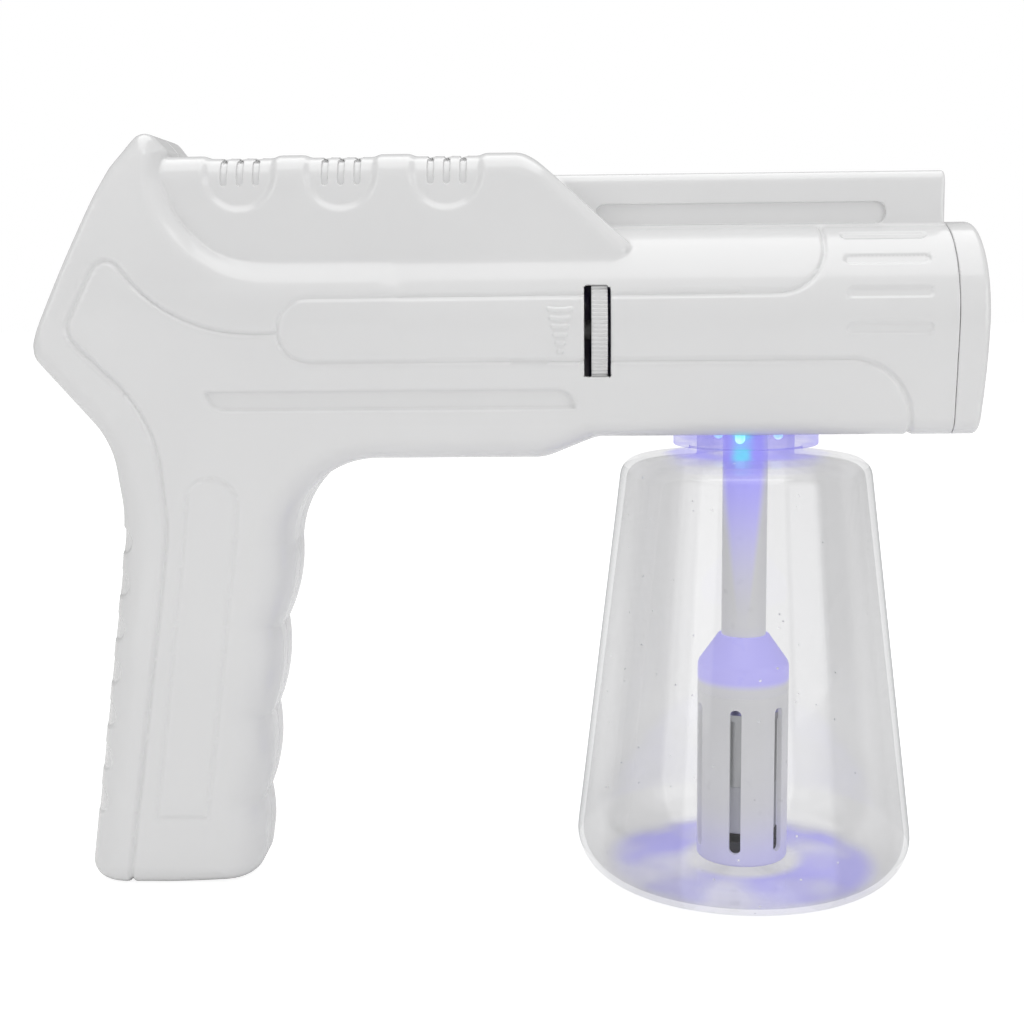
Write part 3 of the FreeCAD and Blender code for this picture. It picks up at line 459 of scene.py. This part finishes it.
# ------------------------------------------------------------------ meshes from fields
def grid_mesh(field, low, high, step):
    """Vertices and triangles of a field's zero surface."""
    counts = [int(math.ceil((high[k] - low[k]) / step)) + 1 for k in range(3)]
    axes = [low[k] + step * np.arange(counts[k]) for k in range(3)]
    values = field(axes[0][:, None, None], axes[1][None, :, None], axes[2][None, None, :])
    values = np.broadcast_to(values, counts)
    inside = values < 0
    cells = [n - 1 for n in counts]
    total = np.zeros((3, cells[0] * cells[1] * cells[2]))
    hits = np.zeros(cells[0] * cells[1] * cells[2])
    quads = []
    for axis in range(3):
        others = [k for k in range(3) if k != axis]
        start = [slice(None)] * 3
        end = [slice(None)] * 3
        start[axis] = slice(0, -1)
        end[axis] = slice(1, None)
        first, second = values[tuple(start)], values[tuple(end)]
        cross = inside[tuple(start)] != inside[tuple(end)]
        index = np.argwhere(cross)
        a, b = first[cross], second[cross]
        place = index.astype(float)
        place[:, axis] += a / (a - b)
        corners = []
        fits = np.ones(len(index), bool)
        for step_a, step_b in ((1, 1), (0, 1), (0, 0), (1, 0)):
            cell = index.copy()
            cell[:, others[0]] -= step_a
            cell[:, others[1]] -= step_b
            ok = (cell >= 0).all(1) & (cell < cells).all(1)
            flat = np.ravel_multi_index(np.where(ok[:, None], cell, 0).T, cells)
            for k in range(3):
                total[k] += np.bincount(flat[ok], place[ok, k], total.shape[1])
            hits += np.bincount(flat[ok], None, total.shape[1])
            corners.append(flat)
            fits &= ok
        quad = np.array(corners).T[fits]
        outward = (a[fits] < 0) != (axis == 1)
        quad[~outward] = quad[~outward][:, ::-1]
        quads.append(quad)
    used = hits > 0
    number = np.cumsum(used) - 1
    points = (total[:, used] / hits[used]).T * step + np.array(low)
    quads = number[np.concatenate(quads)]
    return points, np.concatenate([quads[:, [0, 1, 2]], quads[:, [0, 2, 3]]])


def gradient(field, points, reach):
    """The direction in which a field grows, from four samples round each point."""
    result = np.zeros_like(points)
    for way in ((1, -1, -1), (-1, -1, 1), (-1, 1, -1), (1, 1, 1)):
        way = np.array(way, float)
        moved = points + way * reach
        result += way * field(moved[:, 0], moved[:, 1], moved[:, 2])[:, None]
    return result / (4 * reach)


def settle(field, points, times):
    """Moves points onto the field's zero surface."""
    for _ in range(times):
        value = field(points[:, 0], points[:, 1], points[:, 2])
        slope = gradient(field, points, 0.04)
        length = np.maximum((slope * slope).sum(1), 0.2)
        points = points - slope * np.clip(value / length, -0.45, 0.45)[:, None]
    return points


def relax(points, triangles):
    """Moves each point towards the middle of its neighbours."""
    pairs = np.concatenate([triangles[:, [0, 1]], triangles[:, [1, 2]], triangles[:, [2, 0]]])
    pairs = np.concatenate([pairs, pairs[:, ::-1]])
    count = np.bincount(pairs[:, 0], minlength=len(points))
    middle = np.array([np.bincount(pairs[:, 0], points[pairs[:, 1], k], len(points)) for k in range(3)]).T
    return 0.5 * points + 0.5 * middle / np.maximum(count, 1)[:, None]


def refine(field, points, triangles, tolerance, smallest, wanted):
    """Splits the edges whose middle is off the surface by more than tolerance."""
    ends = np.sort(np.concatenate([triangles[:, [0, 1]], triangles[:, [1, 2]], triangles[:, [2, 0]]]), axis=1)
    keys = ends[:, 0].astype(np.int64) * len(points) + ends[:, 1]
    unique, inverse = np.unique(keys, return_inverse=True)
    first, second = unique // len(points), unique % len(points)
    middle = (points[first] + points[second]) / 2
    length = np.linalg.norm(points[first] - points[second], axis=1)
    off = np.abs(field(middle[:, 0], middle[:, 1], middle[:, 2]))
    mark = (off > tolerance) & (length > smallest) & wanted(middle)
    new = np.full(len(unique), -1)
    new[mark] = len(points) + np.arange(mark.sum())
    added = settle(field, middle[mark], 2)
    m0, m1, m2 = new[inverse.reshape(3, -1)]
    a, b, c = triangles.T
    case = (m0 >= 0) * 1 + (m1 >= 0) * 2 + (m2 >= 0) * 4
    ways = {
        0: ((a, b, c),),
        1: ((a, m0, c), (m0, b, c)),
        2: ((a, b, m1), (a, m1, c)),
        4: ((a, b, m2), (m2, b, c)),
        3: ((m0, b, m1), (a, m0, m1), (a, m1, c)),
        6: ((m1, c, m2), (a, b, m1), (a, m1, m2)),
        5: ((a, m0, m2), (m0, b, c), (m0, c, m2)),
        7: ((a, m0, m2), (m0, b, m1), (m2, m1, c), (m0, m1, m2)),
    }
    result = []
    for key, pieces in ways.items():
        chosen = case == key
        for piece in pieces:
            result.append(np.array([corner[chosen] for corner in piece]).T)
    return np.concatenate([points, added]), np.concatenate(result)


def field_object(name, field, low, high, step, passes, wanted):
    """An object whose mesh follows a field, finer where the field needs it."""
    points, triangles = grid_mesh(field, low, high, step)
    points = settle(field, points, 2)
    points = settle(field, relax(points, triangles), 2)
    for smallest in (0.9, 0.5):
        points, triangles = refine(field, points, triangles, -1.0, smallest, on_small_detail)
    for tolerance, smallest in passes:
        points, triangles = refine(field, points, triangles, tolerance, smallest, wanted)
    points = settle(field, points, 1)
    sides = [np.linalg.norm(points[triangles[:, k]] - points[triangles[:, k - 1]], axis=1) for k in range(3)]
    triangles = triangles[np.max(sides, 0) < 3.5 * step]
    normals = gradient(field, points, 0.12)
    normals /= np.maximum(np.linalg.norm(normals, axis=1), 1e-9)[:, None]
    mesh = bpy.data.meshes.new(name)
    mesh.vertices.add(len(points))
    mesh.vertices.foreach_set("co", (points * MM).ravel())
    mesh.loops.add(3 * len(triangles))
    mesh.loops.foreach_set("vertex_index", triangles.ravel().astype(np.int32))
    mesh.polygons.add(len(triangles))
    mesh.polygons.foreach_set("loop_start", np.arange(0, 3 * len(triangles), 3, dtype=np.int32))
    mesh.update(calc_edges=True)
    mesh.validate()
    mesh.shade_smooth()
    mesh.normals_split_custom_set_from_vertices(normals.tolist())
    thing = bpy.data.objects.new(name, mesh)
    bpy.context.scene.collection.objects.link(thing)
    return thing


def on_outside(middle):
    """On the casing's visible side, where small errors show."""
    x, y, z = middle.T
    return plain_casing(x, np.abs(y), z) > -1.9


def before_plug(middle):
    """On the part of the cap that stands in front of the barrel."""
    return middle[:, 0] > 55.0


def on_small_detail(middle):
    """Near the flow symbol and the vent slots, which a coarse mesh would miss."""
    x, y, z = middle.T
    across = np.abs(y)
    near = (np.abs(x - SYMBOL_X) < 6.0) & (z > 161.5) & (z < 177.5) & (across > 22.0)
    for centre in VENTS_X:
        near |= (np.abs(x - centre) < 7.0) & (z > 210.5) & (z < 219.5) & (across > 12.0)
    return near


PASSES = ((0.045, 0.9), (0.055, 0.5), (0.08, 0.35))


def build_shells():
    """The two half shells that meet in the middle plane."""
    for name, node, side in (("right_shell_skin", "right_shell", -1), ("left_shell_skin", "left_shell", 1)):
        low = (VENTS_X[0] - 62.5 * MESH_STEP, -30.5 if side < 0 else -1.3, -2.3)
        high = (58.5, 1.3 if side < 0 else 30.5, 232.0)

        def field(x, y, z):
            return shell_field(x, y, z, side)

        shell = field_object(name, field, low, high, MESH_STEP, PASSES, on_outside)
        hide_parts(node)
        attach(shell, "casing")


def build_cap():
    """The cap with the round mouth at the front."""
    low = (50.0, -30.5, 136.0)
    high = (69.0, 30.5, 202.0)
    cap = field_object("front_cap_skin", cap_field, low, high, 1.0, PASSES, before_plug)
    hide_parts("front_cap")
    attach(cap, "casing")


# ------------------------------------------------------------------ materials
class Shader:
    """A small helper that adds nodes to a material and links them."""

    def __init__(self, name):
        self.material = bpy.data.materials.new(name)
        self.material.use_nodes = True
        self.tree = self.material.node_tree
        self.surface = self.tree.nodes["Principled BSDF"]

    def add(self, kind, **values):
        node = self.tree.nodes.new(kind)
        for key, value in values.items():
            if key in node.inputs:
                node.inputs[key].default_value = value
            else:
                setattr(node, key, value)
        return node

    def link(self, output, target):
        self.tree.links.new(output, target)

    def noise(self, scale, detail=3.0, stretch=(1, 1, 1)):
        where = self.add("ShaderNodeTexCoord")
        turn = self.add("ShaderNodeMapping")
        turn.inputs["Scale"].default_value = stretch
        self.link(where.outputs["Object"], turn.inputs["Vector"])
        noise = self.add("ShaderNodeTexNoise", Scale=scale, Detail=detail)
        self.link(turn.outputs["Vector"], noise.inputs["Vector"])
        return noise.outputs["Fac"]

    def ramp(self, value, low, high, start=0.3, end=0.7):
        """Mixes two colours by a value."""
        ramp = self.add("ShaderNodeValToRGB")
        ramp.color_ramp.elements[0].position = start
        ramp.color_ramp.elements[0].color = (*low, 1)
        ramp.color_ramp.elements[1].position = end
        ramp.color_ramp.elements[1].color = (*high, 1)
        self.link(value, ramp.inputs["Fac"])
        return ramp.outputs["Color"]

    def span(self, value, low, high, start=0.0, end=1.0, kind="LINEAR"):
        """Maps start..end to low..high."""
        mapped = self.add("ShaderNodeMapRange", interpolation_type=kind)
        mapped.inputs["From Min"].default_value = start
        mapped.inputs["From Max"].default_value = end
        mapped.inputs["To Min"].default_value = low
        mapped.inputs["To Max"].default_value = high
        self.link(value, mapped.inputs["Value"])
        return mapped.outputs["Result"]

    def math(self, kind, a, b=0.0):
        node = self.add("ShaderNodeMath", operation=kind)
        for socket, value in zip(node.inputs, (a, b)):
            if isinstance(value, float):
                socket.default_value = value
            else:
                self.link(value, socket)
        return node.outputs["Value"]

    def place(self):
        """X, Y and Z in millimetres."""
        where = self.add("ShaderNodeTexCoord")
        scale = self.add("ShaderNodeVectorMath", operation="SCALE")
        scale.inputs["Scale"].default_value = 1.0 / MM
        self.link(where.outputs["Object"], scale.inputs[0])
        split = self.add("ShaderNodeSeparateXYZ")
        self.link(scale.outputs["Vector"], split.inputs["Vector"])
        return split.outputs["X"], split.outputs["Y"], split.outputs["Z"]

    def mix(self, factor, a, b):
        """Mixes two colours."""
        mixed = self.add("ShaderNodeMix", data_type="RGBA")
        self.link(factor, mixed.inputs["Factor"])
        for name, value in (("A", a), ("B", b)):
            socket = [s for s in mixed.inputs if s.name == name and s.type == "RGBA"][0]
            if isinstance(value, tuple):
                socket.default_value = (*value, 1)
            else:
                self.link(value, socket)
        return [s for s in mixed.outputs if s.type == "RGBA"][0]

    def blend(self, factor, a, b):
        """Mixes two shaders."""
        mixed = self.add("ShaderNodeMixShader")
        if isinstance(factor, float):
            mixed.inputs["Fac"].default_value = factor
        else:
            self.link(factor, mixed.inputs["Fac"])
        self.link(a, mixed.inputs[1])
        self.link(b, mixed.inputs[2])
        return mixed.outputs["Shader"]

    def output(self, shader):
        self.link(shader, self.tree.nodes["Material Output"].inputs["Surface"])

    def bump(self, value, distance, strength=1.0, edge=0.0):
        bump = self.add("ShaderNodeBump", Strength=strength, Distance=distance)
        self.link(value, bump.inputs["Height"])
        if edge:
            bevel = self.add("ShaderNodeBevel", Radius=edge, samples=4)
            self.link(bevel.outputs["Normal"], bump.inputs["Normal"])
        self.link(bump.outputs["Normal"], self.surface.inputs["Normal"])


def plastic(name, low, high, rough, edge=0.0, metal=0.0, grain=900.0, depth=0.00001, coat=0.0):
    """Moulded or machined surface with slight variation, grain and soft edges."""
    shader = Shader(name)
    cloud = shader.noise(22.0)
    shader.link(shader.ramp(cloud, low, high), shader.surface.inputs["Base Color"])
    roughness = shader.span(shader.noise(140.0), rough * 0.85, rough * 1.15)
    shader.link(roughness, shader.surface.inputs["Roughness"])
    shader.bump(shader.noise(grain, 2.0), depth, edge=edge)
    shader.surface.inputs["Metallic"].default_value = metal
    shader.surface.inputs["Coat Weight"].default_value = coat
    return shader.material


GLOW = (0.52, 0.49, 1.0)


def lit_plastic(name, colour, weight):
    """White plastic with the blue lamp's light painted in as colour and emission, over a faint painted white
    glow; weight(shader) says how much blue.
    """
    shader = Shader(name)
    painted_glow = weight(shader)
    cloud = shader.ramp(shader.noise(30.0), colour, tuple(min(1.0, 1.05 * c) for c in colour))
    # painted light: the base colour turns blue where the lamp's light is painted
    shader.link(shader.mix(painted_glow, cloud, GLOW), shader.surface.inputs["Base Color"])
    # painted light: the emission stays white and faint where no blue is painted, brightening the parts inside
    # the bottle
    light = shader.mix(painted_glow, (1.0, 1.0, 1.0), (0.42, 0.38, 1.0))
    shader.link(light, shader.surface.inputs["Emission Color"])
    shader.link(shader.span(painted_glow, 0.16, 0.42), shader.surface.inputs["Emission Strength"])
    shader.link(shader.span(shader.noise(160.0), 0.24, 0.34), shader.surface.inputs["Roughness"])
    shader.bump(shader.noise(700.0, 2.0), 0.00001)
    return shader.material


def tube_weight(shader):
    """A beam that narrows and fades on its way down the tube."""
    x, _, z = shader.place()
    fade = shader.span(z, 0.0, 1.0, 76.0, 126.0, "SMOOTHSTEP")
    width = shader.span(z, 1.5, 8.5, 76.0, 128.0)
    off = shader.math("ABSOLUTE", shader.math("ADD", x, 1.0))
    beam = shader.span(shader.math("DIVIDE", off, width), 1.0, 0.0, 0.55, 1.0, "SMOOTHSTEP")
    return shader.math("MULTIPLY", fade, beam)


def dome_weight(shader):
    """The dome is lit, down to the joint with the cage."""
    _, _, z = shader.place()
    return shader.span(z, 0.05, 0.85, 59.5, 62.5, "SMOOTHSTEP")


def cage_weight(shader):
    """Light from the bottle's floor on the foot of the cage."""
    _, _, z = shader.place()
    return shader.span(z, 0.4, 0.0, 4.0, 26.0, "SMOOTHSTEP")


def clear_bottle():
    """Clear plastic with painted upright shade bands and a painted dark rim, marks, drops, and blue lamp
    light painted in as emission at neck and floor.
    """
    shader = Shader("clear_bottle")
    x, y, z = shader.place()
    square = shader.math("ADD", shader.math("MULTIPLY", x, x), shader.math("MULTIPLY", y, y))
    radius = shader.math("SQRT", square)
    angle = shader.math("ARCTAN2", y, x)
    facing = shader.add("ShaderNodeLayerWeight", Blend=0.35).outputs["Facing"]
    outer_radius = shader.span(z, BOTTLE_FOOT_R, BOTTLE_SHOULDER_R, 0.0, BOTTLE_SHOULDER_Z)
    outer_wall = shader.math("GREATER_THAN", radius, shader.math("SUBTRACT", outer_radius, 0.8))
    # painted shade: the outer wall darkens towards grazing angles, a painted dark rim along the bottle's
    # edges
    edge = shader.math("MULTIPLY", shader.math("POWER", facing, 4.0), outer_wall)
    # painted shade: the clear wall is darker in upright bands at set angles round the bottle
    turned = shader.math("ABSOLUTE", shader.math("SUBTRACT", shader.math("ABSOLUTE", angle), math.pi / 2))
    painted_shade_band = shader.span(turned, 0.0, 1.0, 0.45, 0.47)
    painted_shade_band = shader.math("MULTIPLY", painted_shade_band, shader.span(turned, 1.0, 0.0, 1.0, 1.1))
    tint_and_painted_shade = shader.mix(painted_shade_band, (0.935, 0.935, 0.937), (0.89, 0.89, 0.893))
    tint_and_painted_shade = shader.mix(edge, tint_and_painted_shade, (0.42, 0.43, 0.44))
    through = shader.add("ShaderNodeBsdfTransparent")
    shader.link(tint_and_painted_shade, through.inputs["Color"])

    tick = shader.math("FRACT", shader.math("DIVIDE", z, 2.6))
    tick = shader.math("ABSOLUTE", shader.math("SUBTRACT", tick, 0.5))
    tick = shader.span(tick, 1.0, 0.0, 0.06, 0.16, "SMOOTHSTEP")
    marks = None
    for centre, low, high in ((-2.55, 60.0, 118.0), (-0.62, 22.0, 92.0)):
        away = shader.math("ABSOLUTE", shader.math("SUBTRACT", angle, centre))
        near = shader.span(away, 1.0, 0.0, 0.09, 0.11)
        above = shader.math("GREATER_THAN", z, low)
        inside = shader.math("MULTIPLY", above, shader.math("LESS_THAN", z, high))
        here = shader.math("MULTIPLY", near, inside)
        marks = here if marks is None else shader.math("ADD", marks, here)
    marks = shader.math("MULTIPLY", marks, tick)
    wave = shader.math("MULTIPLY", shader.noise(28.0, 1.5, (1, 1, 0.25)), 0.5)
    height = shader.math("ADD", marks, wave)
    bump = shader.add("ShaderNodeBump", Strength=0.7, Distance=0.00025)
    shader.link(height, bump.inputs["Height"])

    gloss = shader.add("ShaderNodeBsdfGlossy", Roughness=0.04)
    shader.link(bump.outputs["Normal"], gloss.inputs["Normal"])
    fresnel = shader.add("ShaderNodeFresnel", IOR=1.5)
    shader.link(bump.outputs["Normal"], fresnel.inputs["Normal"])
    share = shader.math("MINIMUM", shader.math("MULTIPLY", fresnel.outputs["Fac"], 0.8), 0.12)
    glass = shader.blend(share, through.outputs["BSDF"], gloss.outputs["BSDF"])
    cells = shader.add("ShaderNodeTexVoronoi", Scale=170.0)
    where = shader.add("ShaderNodeTexCoord")
    shader.link(where.outputs["Object"], cells.inputs["Vector"])
    drop = shader.span(cells.outputs["Distance"], 1.0, 0.0, 0.03, 0.08, "SMOOTHSTEP")
    chosen = shader.add("ShaderNodeSeparateColor")
    shader.link(cells.outputs["Color"], chosen.inputs["Color"])
    drop = shader.math("MULTIPLY", drop, shader.math("GREATER_THAN", chosen.outputs["Red"], 0.72))
    bead = shader.add("ShaderNodeBsdfDiffuse")
    bead.inputs["Color"].default_value = (0.9, 0.9, 0.92, 1)
    glass = shader.blend(shader.math("MULTIPLY", drop, 0.8), glass, bead.outputs["BSDF"])

    # painted light: blue lamp light on the bottle's floor, as emission in a patchy ring
    floor = shader.span(z, 1.0, 0.0, 3.6, 6.0, "SMOOTHSTEP")
    floor = shader.math("MULTIPLY", floor, shader.span(z, 0.0, 1.0, 1.4, 1.8))
    floor = shader.math("MULTIPLY", floor, shader.span(radius, 1.0, 0.0, 36.0, 44.0, "SMOOTHSTEP"))
    floor = shader.math("MULTIPLY", floor, shader.span(radius, 0.0, 1.0, 15.0, 21.0, "SMOOTHSTEP"))
    floor = shader.math("MULTIPLY", floor, shader.span(shader.noise(38.0, 1.0), 0.15, 0.6, 0.38, 0.62))
    # painted light: blue lamp light round the neck, as emission in patches
    neck = shader.span(z, 0.0, 0.32, 127.5, 131.0, "SMOOTHSTEP")
    neck = shader.math("MULTIPLY", neck, shader.span(radius, 1.0, 0.0, 21.0, 27.0, "SMOOTHSTEP"))
    patches = shader.span(shader.noise(60.0, 1.0, (1, 1, 4)), 0.5, 1.4, 0.35, 0.65)
    neck = shader.math("MULTIPLY", neck, patches)
    painted_glow = shader.math("MAXIMUM", floor, neck)
    # painted light: a brighter cyan glow on the neck beside the lamp
    lamp = shader.span(shader.math("ABSOLUTE", shader.math("ADD", x, 3.0)), 1.0, 0.0, 0.6, 4.0, "SMOOTHSTEP")
    lamp = shader.math("MULTIPLY", lamp, shader.math("LESS_THAN", y, -8.0))
    lamp = shader.math("MULTIPLY", lamp, shader.math("MULTIPLY", neck, 1.2))
    glow = shader.add("ShaderNodeEmission", Strength=1.0)
    light = shader.mix(shader.math("MULTIPLY", lamp, 2.9), (0.34, 0.31, 1.0), (0.1, 0.85, 1.0))
    shader.link(light, glow.inputs["Color"])
    shader.output(shader.blend(painted_glow, glass, glow.outputs["Emission"]))
    return shader.material


def lamp_glass(name, colour, strength):
    """A small lamp that shines by itself."""
    shader = Shader(name)
    body = shader.ramp(shader.noise(300.0), colour, (0.8, 0.95, 1.0))
    light = shader.ramp(shader.noise(300.0), colour, (0.6, 0.9, 1.0))
    shader.link(body, shader.surface.inputs["Base Color"])
    shader.link(light, shader.surface.inputs["Emission Color"])
    shader.surface.inputs["Emission Strength"].default_value = strength
    shader.surface.inputs["Roughness"].default_value = 0.2
    return shader.material


def paint(material, *names):
    """Gives one material to CAD nodes or new pieces."""
    for name in names:
        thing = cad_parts.get(name) or bpy.data.objects[name]
        thing.data.materials.clear()
        thing.data.materials.append(material)


def finish_all():
    """One material for each kind of piece."""
    white = (0.80, 0.80, 0.802)
    casing = plastic("casing_white", white, (0.82, 0.82, 0.821), 0.2, coat=0.5, depth=0.000004)
    paint(casing, "right_shell_skin", "left_shell_skin", "front_cap_skin")
    moulded = plastic("moulded_white", (0.76, 0.76, 0.765), (0.80, 0.80, 0.80), 0.32, edge=0.0003)
    paint(moulded, "flow_wheel", "bottle_socket", "nozzle_body", "outlet_grille")
    paint(moulded, "fan_housing", "battery_tray")
    panel = plastic("panel_grey", (0.60, 0.61, 0.62), (0.64, 0.65, 0.66), 0.38, edge=0.0003)
    paint(panel, "rear_panel", "high_voltage_module")
    silver = plastic("button_silver", (0.55, 0.56, 0.58), (0.62, 0.63, 0.65), 0.28, edge=0.0002, metal=0.7)
    paint(silver, "power_button")
    black = plastic("black_plastic", (0.018, 0.018, 0.02), (0.03, 0.03, 0.033), 0.42, edge=0.0002)
    paint(black, "charging_port", "button_switch", "fan_rotor", "inlet_filter", "flow_potentiometer")
    rubber = plastic("grey_rubber", (0.16, 0.16, 0.165), (0.2, 0.2, 0.2), 0.7, depth=0.00003)
    paint(rubber, "bottle_gasket", "battery_lead", "pump_lead")
    low, high = (0.52, 0.53, 0.54), (0.62, 0.62, 0.63)
    steel = plastic("steel", low, high, 0.3, edge=0.00015, metal=1.0, depth=0.00002)
    paint(steel, "shell_screws", "fan_motor", "electrode_ring", "pump_motor")
    paint(plastic("brass", (0.62, 0.46, 0.2), (0.7, 0.54, 0.26), 0.3, edge=0.00015, metal=1.0), "nozzle_tip")
    board = plastic("circuit_board", (0.02, 0.16, 0.07), (0.03, 0.22, 0.1), 0.4, edge=0.0001, depth=0.00003)
    paint(board, "driver_board", "control_board", "battery_board", "neck_light_board")
    wrap = plastic("cell_wrap", (0.05, 0.16, 0.42), (0.07, 0.2, 0.5), 0.35)
    paint(wrap, "battery_cell_front", "battery_cell_rear")
    paint(plastic("red_silicone", (0.5, 0.03, 0.02), (0.6, 0.05, 0.03), 0.5), "high_voltage_lead")
    pale = plastic("pale_plastic", (0.62, 0.63, 0.66), (0.7, 0.71, 0.74), 0.3, edge=0.0002)
    paint(pale, "liquid_hose", "pump_chamber", "pump_impeller")
    paint(lit_plastic("tube_plastic", (0.76, 0.76, 0.765), tube_weight), "intake_tube")
    paint(lit_plastic("dome_plastic", (0.78, 0.78, 0.785), dome_weight), "pump_dome")
    paint(lit_plastic("cage_plastic", (0.78, 0.78, 0.785), cage_weight), "pump_cage")
    paint(clear_bottle(), "bottle")
    paint(lamp_glass("blue_lamp", (0.12, 0.62, 1.0), 1.6), "neck_lights")
    paint(lamp_glass("status_lamp", (0.2, 0.5, 1.0), 0.8), "status_lens")


# ------------------------------------------------------------------ light, floor and camera
def area_light(name, place, target, size, brightness):
    data = bpy.data.lights.new(name, "AREA")
    data.shape = "RECTANGLE"
    data.size, data.size_y = size
    data.energy = math.pi * size[0] * size[1] * brightness
    lamp = bpy.data.objects.new(name, data)
    lamp.location = place
    lamp.rotation_euler = (Vector(target) - Vector(place)).to_track_quat("-Z", "Y").to_euler()
    bpy.context.scene.collection.objects.link(lamp)


def build_world():
    """A grey studio that the camera itself sees as white."""
    world = bpy.data.worlds.new("studio")
    bpy.context.scene.world = world
    world.use_nodes = True
    tree = world.node_tree
    background = tree.nodes["Background"]
    path = tree.nodes.new("ShaderNodeLightPath")
    strength = tree.nodes.new("ShaderNodeMapRange")
    strength.inputs["To Min"].default_value = 0.44
    strength.inputs["To Max"].default_value = 1.0
    tree.links.new(path.outputs["Is Camera Ray"], strength.inputs["Value"])
    tree.links.new(strength.outputs["Result"], background.inputs["Strength"])
    background.inputs["Color"].default_value = (1, 1, 1, 1)
    bpy.context.scene.view_settings.view_transform = "Standard"


def build_stage():
    """A pale floor and three large soft lamps."""
    mesh = bpy.data.meshes.new("floor")
    side = 6.0
    corners = [(-side, -side, 0), (side, -side, 0), (side, side, 0), (-side, side, 0)]
    mesh.from_pydata(corners, [], [(0, 1, 2, 3)])
    floor = bpy.data.objects.new("floor", mesh)
    floor.location.z = -0.0002
    bpy.context.scene.collection.objects.link(floor)
    shader = Shader("floor_white")
    path = shader.add("ShaderNodeLightPath")
    pale = shader.ramp(shader.noise(3.0), (0.93, 0.93, 0.93), (0.95, 0.95, 0.95))
    pale = shader.mix(path.outputs["Is Camera Ray"], pale, (0.3, 0.3, 0.3))
    shader.link(pale, shader.surface.inputs["Base Color"])
    shader.surface.inputs["Roughness"].default_value = 0.6
    shader.surface.inputs["Emission Color"].default_value = (1, 1, 1, 1)
    strength = shader.span(path.outputs["Is Camera Ray"], 0.0, 0.89)
    shader.link(strength, shader.surface.inputs["Emission Strength"])
    mesh.materials.append(shader.material)
    area_light("top_softbox", (-0.1, 0.0, 1.3), (-0.07, 0, 0.1), (1.8, 1.3), 1.45)
    area_light("left_softbox", (-0.95, -1.0, 0.35), (-0.05, 0, 0.12), (0.7, 1.1), 1.0)
    area_light("right_softbox", (0.95, -0.85, 0.35), (0.0, 0, 0.12), (0.7, 1.1), 1.35)


def build_camera():
    """The camera on the right side, slightly above the barrel."""
    place = Vector((-0.0540, -0.4910, 0.1829))
    yaw, pitch, roll = math.radians(2.0), math.radians(8.08), math.radians(-0.58)
    ahead = Vector((-math.sin(yaw) * math.cos(pitch), math.cos(yaw) * math.cos(pitch), -math.sin(pitch)))
    right = ahead.cross(Vector((0, 0, 1))).normalized()
    up = right.cross(ahead)
    right, up = (
        right * math.cos(roll) + up * math.sin(roll),
        up * math.cos(roll) - right * math.sin(roll),
    )
    data = bpy.data.cameras.new("camera")
    data.sensor_width = 36.0
    data.lens = 56.83
    data.clip_start = 0.01
    camera = bpy.data.objects.new("camera", data)
    axes = Matrix((right, up, -ahead)).transposed().to_4x4()
    camera.matrix_world = Matrix.Translation(place) @ axes
    bpy.context.scene.collection.objects.link(camera)
    bpy.context.scene.camera = camera


build_shells()
build_cap()
finish_all()
build_world()
build_stage()
build_camera()
